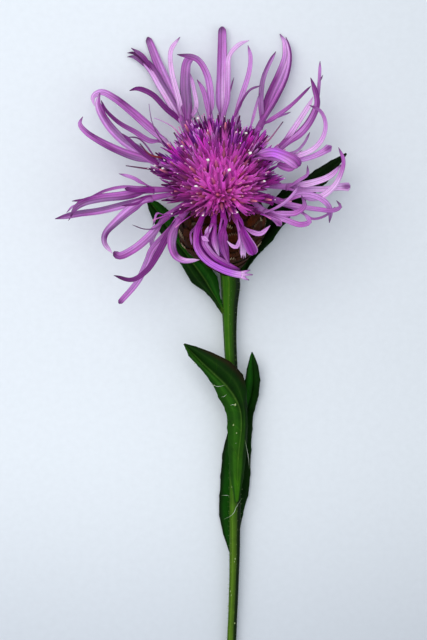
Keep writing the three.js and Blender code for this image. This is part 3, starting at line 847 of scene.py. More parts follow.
@dataclass
class RayFloret:
    """A ray floret: a slim tube from the receptacle that splits into lobes."""

    name: str
    order: int
    throat: Place
    lobes: Tuple[Lobe, ...]
    root_circle: float = 4.25
    root_rise: float = 0.55
    tube_rise: float = 0.7
    root_radius: float = 0.34
    throat_radius: float = 0.6
    tube_wall: float = 0.09
    tube_sides: int = 12
    inner_rings: int = 4
    thickness: float = 0.15
    fullness: float = 1.13
    fold: float = 0.42
    roll: float = 0.9
    step: float = 0.42
    widest_arc: float = 1.9
    unrolled: Pair = (0.6, 3.4)
    columns: Tuple[float, ...] = (-1.0, -0.8, -0.5, -0.22, 0.0, 0.22, 0.5, 0.8, 1.0)
    # How far each place across a toothed end reaches, from -1 on one side to 1 on the other.
    teeth: Curve = ((0, 0.22, 0.5, 0.8, 1), (1.0, 0.1, 0.5, 0.9, 0.2))
    # The shift, lean and reach of each ragged tooth of a frayed end.
    frays: Tuple[Place, ...] = ((-0.3, -0.35, 1.5), (0.05, 0.05, 2.0), (0.32, 0.4, 1.6))

    @property
    def mouth(self) -> Array:
        """Where the tube opens."""
        return PICTURE.at(*self.throat)

    @property
    def root(self) -> Array:
        """Where the tube stands on the circle of roots."""
        outward = self.mouth - HEAD.mouth
        outward = unit(outward - HEAD.axis * float(outward @ HEAD.axis))
        return HEAD.mouth + HEAD.axis * self.root_rise + outward * self.root_circle

    def between(self, share: float) -> Array:
        """A point straight between the mouth and the root, by its share of the root."""
        return self.mouth * (1 - share) + self.root * share

    def tube_path(self) -> Path:
        """The tube's middle line, which rises over the rim before it leans out."""
        return Path([self.root, self.between(0.8) + HEAD.axis * self.tube_rise, self.mouth])

    def draw_tube(self, sketch: Sketch) -> None:
        """Adds the tube, flared and open at its throat.

        Args:
            sketch: The piece that it joins.
        """
        path = self.tube_path()
        shares, turns = path.evenly(self.step), ring_turns(self.tube_sides)
        flare = self.root_radius + (self.throat_radius - self.root_radius) * shares ** 2
        radius = np.concatenate([flare, flare[::-1][:self.inner_rings] - self.tube_wall])
        shares = np.concatenate([shares, shares[::-1][:self.inner_rings]])
        out = spokes(*across(path.tangents(shares)), turns)
        rings = path.places(shares)[:, None] + out * radius[:, None, None]
        tints = mixed(Tone.MAGENTA, self.lobes[0].tones[0], 0.15 + 0.65 * shares)[:, None]
        sketch.skin(rings, tints, np.cos(turns) * 1.5, (shares * path.length)[:, None], self.order)

    def half_widths(self, lobe: Lobe, shares: Array, length: float) -> Array:
        """Draws a lobe's width in at its root and shapes it at its tip.

        Args:
            lobe: The lobe.
            shares: Shares of its length.
            length: Its length.

        Returns:
            Half the width at each share.
        """
        flare = 7.0 if lobe.tip is Tip.SPOON else 2.0
        wide = self.fullness * (lobe.width + (lobe.tip_width - lobe.width) * shares ** flare)
        if lobe.from_throat:
            wide = wide * np.minimum(1, 0.62 + 1.5 * shares)
        else:
            wide = wide * (0.08 + 0.92 * smooth(0.0, 0.5, shares))
        taper = min(0.6, lobe.tip.value * max(lobe.tip_width, 0.3) / length)
        t = np.clip((shares - 1 + taper) / taper, 0, 1)
        if lobe.tip is Tip.TOOTHED:
            close = 1 - 0.2 * t
        elif lobe.tip is Tip.POINTED:
            close = 1 - 0.86 * t ** 1.5
        else:
            close = np.sqrt(np.maximum(1 - 0.93 * t ** 2.4, 0.0))
        return wide * close / 2

    def draw_lobe(self, sketch: Sketch, number: int, arc: Pair) -> None:
        """Adds one lobe, which unrolls from the tube's wall into a folded ribbon.

        Args:
            sketch: The piece that it joins.
            number: Its place among the floret's lobes.
            arc: The middle and half the span of its share of the tube's wall, in radians.
        """
        lobe = self.lobes[number]
        rooted = [self.between(0.1), self.between(0.015)] if lobe.from_throat else []
        path = Path([*rooted, *PICTURE.points(lobe.path)])
        shares, v = path.evenly(self.step), np.array(self.columns)
        along = shares * path.length
        centres, tangents = path.places(shares), path.tangents(shares)
        roll = self.roll * (scatter(3 * self.order + number, 1) - 0.5)
        right, up = across(tangents, roll * np.sin(math.pi * shares))
        half = self.half_widths(lobe, shares, path.length)[:, None]
        wobble = 0.05 * np.sin(along * 1.1 + 5 * scatter(self.order + number, 2))[:, None]
        cup = 1.0 + (1.6 * smooth(0.86, 1.0, shares)[:, None] if lobe.tip is Tip.SPOON else 0.0)
        bend = half * self.fold * (np.abs(v) ** 1.5 - 0.4) * cup + wobble * v * half
        thick = self.thickness * (1 - 0.5 * v ** 2)[None] * (1 - 0.4 * shares[:, None] ** 4)
        facing = 1.0
        if lobe.from_throat:
            tangent = self.tube_path().tangents(np.ones(1))
            outward = turned(*(way[0] for way in across(tangent)), arc[0])
            sideways = np.cross(outward, tangent[0])
            if float(right[2] @ sideways) + float(up[2] @ -outward) < 0:
                right, up, facing = -right, -up, -1.0
        faces = []
        for upper in (1.0, -1.0):
            rise = (bend + upper * thick / 2)[..., None]
            offsets = (half * v)[..., None] * right[:, None] + rise * up[:, None]
            if lobe.from_throat:
                radius = self.throat_radius - 0.05 - upper * self.thickness / 2
                rolled = radius * spokes(outward, sideways, v * arc[1])
                unrolled = smooth(*self.unrolled, along)[:, None, None]
                offsets = rolled * (1 - unrolled) + offsets * unrolled
            face = centres[:, None] + offsets
            if lobe.tip is Tip.TOOTHED:
                late = smooth(1 - 1.6 / path.length, 1.0, shares)[:, None]
                reach = late * (np.interp(abs(v), *self.teeth) - 0.6) * 1.1
                face = face + tangents[:, None] * reach[..., None]
            faces.append(face)
        tints = self.paint(lobe, along, path.length, v * facing)
        sketch.sheet(*faces, tints, v, along, 7.3 * self.order + 1.7 * number)
        if lobe.tip is Tip.FRAYED:
            self.draw_frays(sketch, lobe, centres[-3], tangents[-2], right[-2])

    @staticmethod
    def paint(lobe: Lobe, along: Array, length: float, v: Array) -> Array:
        """Paints a lobe's two halves in painted light and painted shade, painted shade on its rolled
        rims and down its middle groove, a deeper root, a dark tip, and painted shade in a spoon's
        cup.

        Args:
            lobe: The lobe.
            along: Distances along it.
            length: Its length.
            v: Places across it, from -1 on its left to 1 on its right.

        Returns:
            A linear colour for each place.
        """
        shares, along, off = along / length, along[:, None], abs(v)
        left = blended(lobe.tones, shares)[:, None]
        right = blended(lobe.right_tones or lobe.tones, shares)[:, None]
        # painted light and painted shade: the folded lobe's two halves, one lit and one shaded
        tints = mixed(left, right, smooth(-0.3, 0.3, v))
        # painted shade: darker rims where the edges roll away from the light, and a darker groove
        # down the middle
        relief = 1.05 - 0.42 * smooth(0.7, 1.0, off) - 0.3 * (1 - smooth(0.0, 0.3, off))
        tints = tints * relief[:, None]
        if lobe.rim is not None:
            tints = mixed(tints, lobe.rim, 0.85 * smooth(0.72, 0.95, off) * smooth(1.5, 4.0, along))
        if lobe.from_throat:
            tints = mixed(tints, Tone.MAGENTA, 0.55 * (1 - smooth(0.0, 5.0, along)))
        if lobe.dark_tip:
            tints = mixed(tints, Tone.DARK, 0.75 * smooth(length - 1.3, length - 0.1, along))
        if lobe.tip is Tip.SPOON:
            # painted shade in the cupped end of a spoon-shaped tip
            hollow = smooth(length - 1.8, length - 0.9, along) * (1 - smooth(0.35, 0.9, off))
            tints = mixed(tints, Tone.PLUM, 0.8 * hollow)
        return tints

    def draw_frays(self, sketch: Sketch, lobe: Lobe, foot: Array, tangent: Array,
                   right: Array) -> None:
        """Adds the ragged teeth at the end of a frayed lobe.

        Args:
            sketch: The piece that they join.
            lobe: The lobe.
            foot: The point where they begin.
            tangent: The lobe's direction of travel there.
            right: The direction to its right.
        """
        for k, (shift, lean, reach) in enumerate(self.frays):
            root = foot + right * shift * lobe.tip_width
            tip = root + unit(tangent + right * lean) * reach
            rod(sketch, bowed(root, tip, UP * 0.05), (0.3, 0.22, 0.06),
                (Tone.PALE, Tone.LILAC, Tone.PLUM), steps=5, seed=k)

    def arcs(self) -> Dict[int, Pair]:
        """Shares the tube's wall out among the lobes, in the order in which they leave it.

        Returns:
            The middle and half the span of each lobe's share, in radians.
        """
        right, up = (way[0] for way in across(self.tube_path().tangents(np.ones(1))))
        leaving, weight = {}, {}
        for i, lobe in enumerate(self.lobes):
            if lobe.from_throat:
                out = PICTURE.at(*lobe.path[0]) - self.mouth
                leaving[i] = math.atan2(float(out @ up), float(out @ right))
                weight[i] = max(lobe.width, 0.45)
        place, middles, spans = 0.0, {}, {}
        for i in sorted(leaving, key=leaving.get):
            share = 2 * math.pi * weight[i] / sum(weight.values())
            middles[i], spans[i] = place + share / 2, min(share / 2, self.widest_arc)
            place += share
        off = [leaving[i] - middles[i] for i in leaving]
        twist = math.atan2(sum(map(math.sin, off)), sum(map(math.cos, off)))
        return {i: (middles[i] + twist, spans[i]) for i in leaving}

    def build(self, finish: Finish) -> None:
        """Makes the floret.

        Args:
            finish: The petal's finish.
        """
        sketch = Sketch(f"ray_floret_{self.name}")
        self.draw_tube(sketch)
        arcs = self.arcs()
        for i in range(len(self.lobes)):
            self.draw_lobe(sketch, i, arcs.get(i, (0.0, 0.0)))
        sketch.piece(finish, "ray_lilac", "ray_florets")


PALE, LILAC, ORCHID, GREY = Tone.PALE, Tone.LILAC, Tone.ORCHID, Tone.GREY
PLUM, DARK, VIOLET = Tone.PLUM, Tone.DARK, Tone.VIOLET
MAGENTA, PURPLE = Tone.MAGENTA, Tone.PURPLE

# Each ray floret by the place where its tube opens, and its lobes, whose tones hold painted light and
# painted shade.
RAY_FLORETS: Dict[str, Tuple[Place, Tuple[Lobe, ...]]] = {
    "tall_left": ((183, 122, 3.6), (
        Lobe(1.85, 0.95, ((172, 95, 2.6), (160, 68, 1.5), (147.5, 36.5, 0.25)),
             (GREY, GREY, ORCHID, GREY), (ORCHID, LILAC, LILAC, ORCHID), Tip.BLUNT),
        Lobe(1.6, 1.2, ((163, 88, 3.2), (151, 68, 2.1), (144, 60, 1.6)), (PALE, PALE, LILAC),
             (ORCHID, GREY, PLUM), Tip.BLUNT, dark_tip=False),
        Lobe(0.9, 0.75, ((167, 109, 4.6), (152, 94, 4.8), (138, 88.5, 4.4), (129.5, 90.5, 3.8)),
             (PLUM, PLUM, PLUM)),
        Lobe(0.85, 0.6, ((179, 100, 3.9), (171.5, 70, 3.4), (171, 50, 2.6), (180, 36.5, 1.8)),
             (LILAC, PALE, PALE, PALE)),
        Lobe(0.8, 0.5, ((153, 71, 2.5), (142.5, 56, 1.7), (131, 47.5, 1.2)), (PLUM, PLUM, GREY),
             from_throat=False),
        Lobe(0.6, 0.4, ((151, 70, 2.4), (140, 57, 1.5), (133, 52.6, 1.2), (127, 52.5, 1.0)),
             (PLUM, DARK), from_throat=False),
        Lobe(0.75, 0.5, ((150, 71, 2.1), (140, 60, 1.3), (133, 56.2, 0.9), (127, 56.5, 0.8)),
             (PLUM, GREY), from_throat=False),
    )),
    "folded": ((188, 120, 4.3), (
        Lobe(1.75, 1.2, ((186, 100, 4.1), (185, 80, 3.5), (187, 62, 3.3), (192, 57, 3.9)),
             (PLUM, GREY, ORCHID), (GREY, GREY, LILAC), Tip.BLUNT, dark_tip=False),
        Lobe(0.7, 0.5, ((196, 108, 4.7), (194, 90, 4.5), (190, 73, 4.2)), (LILAC, PALE, LILAC)),
    )),
    "hooked": ((210, 119, 5.0), (
        Lobe(1.15, 0.75, ((211, 97, 5.0), (207, 74, 5.2), (197, 59, 5.6), (177, 54.5, 5.4)),
             (LILAC, LILAC, ORCHID, PLUM), (LILAC, LILAC, LILAC, DARK)),
        Lobe(0.85, 0.6, ((207, 105, 5.4), (203, 90, 5.5), (197, 79.5, 5.0)), (LILAC, ORCHID)),
    )),
    "tallest": ((222, 118, 3.3), (
        Lobe(1.75, 1.15, ((221, 95, 3.0), (221.8, 60, 2.0), (222.2, 26, 1.0)),
             (LILAC, LILAC, ORCHID, GREY), (PALE, PALE, LILAC, ORCHID), Tip.BLUNT),
        Lobe(0.85, 0.6, ((227, 100, 3.7), (228, 72, 3.5), (229, 56, 3.3), (238, 45, 3.0),
             (249, 40, 2.4)), (LILAC, LILAC, PALE, PALE), dark_tip=False),
        Lobe(0.25, 0.2, ((229, 95, 3.6), (234, 77, 3.2)), (ORCHID, PLUM)),
    )),
    "slim_right": ((235, 118, 4.6), (
        Lobe(0.85, 0.55, ((241, 98, 4.4), (249, 72, 3.7), (250.5, 57, 3.1), (248, 45, 2.4)),
             (PALE, LILAC, LILAC, LILAC)),
        Lobe(0.4, 0.3, ((240, 105, 5.2), (250, 90, 5.3), (261, 85.5, 5.0)), (ORCHID, PLUM, GREY)),
    )),
    "tall_right": ((262, 122, 3.8), (
        Lobe(0.85, 0.5, ((261, 100, 3.4), (263, 80, 2.8), (269, 64, 2.0), (276, 51, 1.0)),
             (ORCHID, GREY, PLUM), (LILAC, GREY, LILAC)),
        Lobe(1.5, 1.0, ((270, 97, 3.0), (281, 72, 2.2), (286.5, 55, 1.4), (285, 42, 0.7),
             (280, 33.5, 0.25)), (GREY, PLUM, PLUM, LILAC, PALE),
             (ORCHID, ORCHID, LILAC, PALE, LILAC)),
        Lobe(0.85, 0.5, ((277, 97, 3.8), (287, 75, 3.2), (290, 55, 2.4), (286, 36.5, 1.6)),
             (ORCHID, ORCHID, LILAC, PALE), (GREY, PLUM, PLUM, PLUM)),
        Lobe(0.75, 0.3, ((270, 120, 5.4), (290, 106, 6.2), (311, 86, 6.8)), (ORCHID, ORCHID, PLUM)),
        Lobe(0.35, 0.3, ((275, 118, 5), (291, 112, 5)), (LILAC, LILAC)),
        Lobe(0.5, 0.3, ((248, 136, 6), (252.5, 120, 6), (257, 103, 6.2), (260, 93, 6)),
             (ORCHID, LILAC, GREY), from_throat=False),
    )),
    "upper_right": ((283, 145, 7.4), (
        Lobe(0.95, 0.7, ((296, 126, 7.2), (308, 107, 6.8), (313, 97, 6.4)), (LILAC, PALE, PALE),
             dark_tip=False),
        Lobe(1.05, 0.7, ((301, 133, 8.2), (312, 118, 8.5), (317, 103, 8.6), (314, 88, 8.4),
             (310.5, 78, 8)), (LILAC, LILAC, ORCHID, PLUM), (ORCHID, ORCHID, PLUM, PLUM)),
        Lobe(0.6, 0.45, ((305, 125, 7.4), (316, 104, 7.4), (319, 84, 6.8), (320, 61, 6.2)),
             (ORCHID, PLUM, LILAC)),
        Lobe(0.25, 0.2, ((300, 134, 7.2), (310, 126, 6.8)), (ORCHID, PLUM)),
        Lobe(0.3, 0.2, ((319.5, 82, 6.8), (323, 75, 6.5)), (GREY, GREY), from_throat=False),
    )),
    "curled": ((255, 158, 17.4), (
        Lobe(1.25, 2.2, ((263, 154.5, 18.8), (273, 153.2, 19.6), (285, 157.5, 19.7),
             (294, 163, 19.2), (298, 168, 18.6)), (MAGENTA, LILAC, VIOLET, ORCHID, PLUM),
             (PURPLE, ORCHID, VIOLET, LILAC, ORCHID), Tip.BLUNT, dark_tip=False),
        Lobe(1.35, 0.9, ((298, 165, 18.4), (292, 168.4, 18.2), (285, 167.6, 17.8),
             (277, 164.5, 17.2)), (ORCHID, ORCHID, PLUM), (LILAC, ORCHID, PLUM), Tip.BLUNT,
             dark_tip=False, from_throat=False),
        Lobe(0.9, 0.4, ((296, 157, 19), (314, 149, 18.2), (323, 137, 17.2), (325, 124, 16),
             (320, 112, 15), (309, 106, 14)), (ORCHID, LILAC, PALE, LILAC, PLUM)),
        Lobe(0.7, 1.35, ((298, 161, 18.6), (318, 155, 17.9), (331, 147, 17)),
             (ORCHID, LILAC, LILAC), (), Tip.SPOON, False),
        Lobe(0.45, 0.35, ((294, 153, 19.2), (303, 145, 18.4), (309.5, 133, 17.6)), (LILAC, GREY)),
        Lobe(0.35, 0.25, ((294, 156, 19), (302, 151, 18.8)), (LILAC, LILAC)),
    )),
    "far_right": ((290, 187, 12.6), (
        Lobe(0.55, 0.4, ((300, 180, 13.8), (307, 175, 14.4), (307, 166, 15)),
             (LILAC, LILAC, ORCHID)),
        Lobe(1.05, 0.75, ((312, 183, 13.2), (330, 176, 13.0), (341, 165, 12.8)),
             (LILAC, PALE, PALE, LILAC)),
        Lobe(0.95, 1.45, ((305, 189, 12.2), (325, 189, 11.8), (340, 187, 11.4), (350, 187, 11)),
             (LILAC, PALE, PALE), (), Tip.SPOON, False),
        Lobe(1.05, 0.4, ((310, 198, 12.6), (322, 196, 13), (334, 186, 13.8), (341, 172, 14.2),
             (343, 161, 14.4), (338, 148, 14.4)), (LILAC, LILAC, PALE, PALE, ORCHID, ORCHID)),
    )),
    "lower_right": ((283, 203, 13.6), (
        Lobe(0.95, 0.7, ((300, 195, 13.6), (318, 198, 13.2), (328, 206, 12.6), (330, 213, 12),
             (329, 223, 11.4)), (ORCHID, LILAC, LILAC, GREY)),
        Lobe(0.75, 0.6, ((300, 207, 14.2), (320, 210, 14.4), (332, 211, 14.2), (340, 207, 14),
             (336, 201, 14.2)), (LILAC, LILAC, ORCHID, GREY)),
        Lobe(0.45, 0.3, ((302, 213, 13.2), (312, 219, 12.8), (325, 216, 12.6), (335, 207, 12.4)),
             (LILAC, ORCHID, GREY)),
    )),
    "low_right": ((266, 213, 15.6), (
        Lobe(0.5, 0.4, ((280, 206, 16.4), (290, 198, 16.6), (299, 186, 16.6)), (LILAC, LILAC)),
        Lobe(0.9, 0.75, ((283, 214, 15.8), (296, 213, 16.4), (304, 206, 16.8), (301, 196, 17.2)),
             (LILAC, LILAC, ORCHID, GREY)),
        Lobe(0.9, 0.7, ((285, 220, 15.4), (300, 225, 15.6), (309, 222, 16), (302, 212, 16)),
             (ORCHID, LILAC, ORCHID, LILAC)),
        Lobe(0.85, 1.25, ((274, 219, 15.8), (281, 226, 15.4)), (ORCHID, LILAC), (), Tip.SPOON,
             False),
    )),
    "front_right": ((239, 222, 18), (
        Lobe(0.85, 0.5, ((241.5, 225, 18.2), (249, 231, 18.4), (260, 234, 18), (270, 226, 17.6)),
             (MAGENTA, LILAC, LILAC), dark_tip=False, from_throat=False),
        Lobe(1.3, 2.1, ((244.5, 236, 19), (250, 246, 18.8), (253.7, 255, 18)),
             (PURPLE, PURPLE, PLUM), (MAGENTA, PLUM, PURPLE), Tip.BLUNT, False, rim=LILAC),
        Lobe(0.7, 0.95, ((240.5, 237, 18.2), (242.5, 247, 17.6), (243.2, 257, 16.8)),
             (MAGENTA, LILAC, PALE), (), Tip.TOOTHED, False),
        Lobe(0.7, 0.4, ((239.6, 234, 19), (238.8, 242, 19.3), (236.2, 247.4, 19.6),
             (231.5, 246, 19.9), (227, 241.3, 20)), (LILAC, LILAC, PALE), dark_tip=False,
             from_throat=False),
    )),
    "front_middle": ((224, 222, 18.6), (
        Lobe(1.45, 1.25, ((223, 240, 19.2), (226, 255, 18.6), (229, 264, 17.6)),
             (MAGENTA, PLUM, PLUM), (MAGENTA, PLUM, ORCHID), Tip.POINTED, False),
        Lobe(0.6, 0.55, ((219, 238, 18), (221, 250, 17.2), (226, 263, 16.2)),
             (ORCHID, VIOLET, VIOLET), dark_tip=False),
    )),
    "front_left": ((213, 228, 18.6), (
        Lobe(1.1, 0.9, ((214, 238, 19.2), (217, 250, 18.6), (219, 256, 17.8)),
             (MAGENTA, ORCHID, PALE), dark_tip=False),
        Lobe(0.95, 0.9, ((204.6, 242, 18.8), (208.6, 250, 18.4), (215, 257, 17.8),
             (222.5, 262, 17.2), (231, 266.5, 16.6), (240, 269.6, 16)),
             (ORCHID, LILAC, ORCHID, PURPLE), (MAGENTA, ORCHID, PURPLE, PLUM)),
        Lobe(1.3, 0.7, ((209.5, 238, 17.8), (213.5, 248, 17.3), (220, 257, 16.8),
             (229, 264.5, 16.2)), (MAGENTA, PLUM, PLUM), dark_tip=False),
        Lobe(0.5, 0.35, ((205, 236, 19), (206.3, 231.5, 19.5), (208.5, 226.8, 19.8)),
             (ORCHID, LILAC, PALE), dark_tip=False, from_throat=False),
        Lobe(0.35, 0.3, ((208.6, 235, 19), (210, 231, 19.4), (211.6, 228, 19.6)),
             (ORCHID, LILAC, PALE), dark_tip=False, from_throat=False),
    )),
    "swept": ((198, 229, 17.6), (
        Lobe(1.05, 1.0, ((196.2, 238, 18.4), (196.4, 246, 18.5), (200.8, 254.8, 18.2),
             (208.2, 262.2, 17.6), (217, 267.6, 17), (227, 271.8, 16.4), (237.5, 274.6, 15.8),
             (246, 275.4, 15.4)), (MAGENTA, PURPLE, ORCHID, VIOLET, VIOLET, PALE),
             (PURPLE, ORCHID, VIOLET, VIOLET, VIOLET, PALE), Tip.FRAYED, False),
        Lobe(1.35, 0.9, ((199.6, 236, 17.7), (201.5, 246, 17.5), (207, 254.5, 17),
             (214.5, 261, 16.4), (223.5, 266, 15.8), (233, 269.8, 15.2), (241.5, 271.6, 14.8)),
             (MAGENTA, PURPLE, MAGENTA, PLUM)),
        Lobe(1.0, 0.6, ((201.6, 236.8, 18.9), (205, 239.4, 19.3), (209, 241.8, 19.4)),
             (LILAC, LILAC), dark_tip=False, from_throat=False),
        Lobe(0.4, 0.3, ((192, 235, 17.2), (191.5, 245, 16.6)), (ORCHID, LILAC), dark_tip=False),
    )),
    "drooping": ((178, 221, 15.6), (
        Lobe(1.5, 0.35, ((172.6, 236, 16.2), (172, 247, 16.3), (176, 256.5, 16.3),
             (184, 260.8, 16.3), (200, 260, 16.4)), (ORCHID, GREY, GREY, PLUM, PALE, PALE),
             (ORCHID, GREY, ORCHID, ORCHID, LILAC, PALE), dark_tip=False),
        Lobe(1.1, 0.45, ((168, 236, 15), (158, 255, 14.4), (147, 271, 13.6), (132, 280, 12.8),
             (114, 275.5, 12)), (ORCHID, PLUM, PLUM, PLUM, DARK)),
        Lobe(1.1, 0.8, ((163, 238, 14.4), (152, 250, 13.4), (147, 262, 12.4), (138, 281, 11),
             (119, 303.5, 8.8)), (ORCHID, ORCHID, LILAC, LILAC, ORCHID), (), Tip.BLUNT),
    )),
    "low_left": ((165, 218, 14.2), (
        Lobe(1.25, 1.1, ((150, 236, 14.6), (133, 250, 14.6), (119, 256, 14.2), (114, 252, 14.2)),
             (ORCHID, GREY, ORCHID, PLUM), (LILAC, LILAC, LILAC, ORCHID), Tip.BLUNT),
        Lobe(0.75, 0.55, ((156, 232, 13.4), (152, 242, 12.8), (154, 254, 12.2), (146, 266, 11.6)),
             (LILAC, PALE, LILAC, GREY)),
        Lobe(0.4, 0.3, ((158, 215, 14.6), (153, 226, 15)), (ORCHID, LILAC)),
        Lobe(0.17, 0.14, ((157, 228, 14.8), (145, 229.5, 14.8), (132, 225, 14.8)), (GREY, DARK)),
    )),
    "looping": ((148, 199, 12), (
        Lobe(1.5, 0.45, ((132, 209, 12.8), (117, 222, 13.6), (106, 234, 14.2), (105, 243, 14.8),
             (113, 254, 15.6)), (ORCHID, ORCHID, GREY, PLUM, PALE),
             (LILAC, LILAC, LILAC, GREY, PALE), dark_tip=False),
        Lobe(1.1, 0.85, ((125, 205, 11.6), (100, 211, 10.8), (78, 214, 10), (55.5, 219, 9)),
             (LILAC, LILAC, ORCHID, GREY), (ORCHID, GREY, GREY, PLUM)),
        Lobe(0.55, 0.5, ((134, 205, 12.8), (122, 206, 13)), (PLUM, PLUM)),
        Lobe(0.25, 0.2, ((73, 214.5, 9.8), (68.5, 221, 9.4)), (PLUM, GREY), from_throat=False),
    )),
    "far_left": ((150, 190, 12), (
        Lobe(1.45, 0.95, ((125, 196, 12.2), (100, 199, 12.4), (82, 204, 12.6), (74, 211, 12.4),
             (71, 217, 12.2)), (ORCHID, PLUM, GREY, GREY, PLUM),
             (ORCHID, ORCHID, ORCHID, PLUM, GREY)),
        Lobe(0.5, 0.35, ((125, 187, 11.6), (105, 191, 11.2), (88, 199, 11), (72, 201.5, 10.8)),
             (LILAC, ORCHID, PLUM)),
        Lobe(0.7, 0.6, ((138, 191, 13), (125, 189, 13.6)), (MAGENTA, PLUM), (), Tip.BLUNT),
        Lobe(0.6, 0.45, ((135, 179, 12.6), (119, 174, 12.6)), (ORCHID, LILAC)),
        Lobe(0.35, 0.25, ((82, 204, 12.6), (73, 207, 12.3), (67, 213, 12)), (GREY, LILAC),
             from_throat=False),
    )),
    "upper_left": ((155, 162, 9.2), (
        Lobe(1.3, 0.6, ((130, 155, 9.2), (105, 144, 9), (86, 132, 8.8), (80, 124, 8.8),
             (83, 117, 9.2)), (LILAC, GREY, PLUM, ORCHID, LILAC),
             (LILAC, ORCHID, ORCHID, PLUM, LILAC)),
        Lobe(1.5, 1.0, ((140, 152, 8.8), (122, 140, 8.4), (106, 122, 8), (98, 104, 7.6),
             (100, 93, 7.4)), (PALE, LILAC, LILAC, LILAC, PALE), (LILAC, GREY, GREY, PLUM, ORCHID)),
        Lobe(0.75, 0.5, ((138, 149, 10.2), (130, 141, 10.4), (121.5, 133.5, 10.4)), (PLUM, PLUM)),
        Lobe(0.25, 0.2, ((148, 148, 10), (138, 138.5, 10.2), (127, 137.5, 10.2)), (ORCHID, DARK)),
    )),
    "arching": ((163, 140, 6.2), (
        Lobe(1.35, 0.7, ((150, 128, 6), (132, 112, 5.4), (114, 98, 4.8), (101, 92, 4.4),
             (93, 97, 4.8), (94.5, 106, 5.2)), (PALE, LILAC, ORCHID, ORCHID, LILAC, PALE),
             (LILAC, ORCHID, ORCHID, PLUM, LILAC, PALE), dark_tip=False),
        Lobe(0.85, 0.35, ((150, 141, 6.6), (135, 132, 6.6), (118, 122, 6.2), (105, 109, 5.6),
             (101, 100, 5.2)), (LILAC, ORCHID, PLUM, PLUM)),
    )),
}


# ---- disc florets

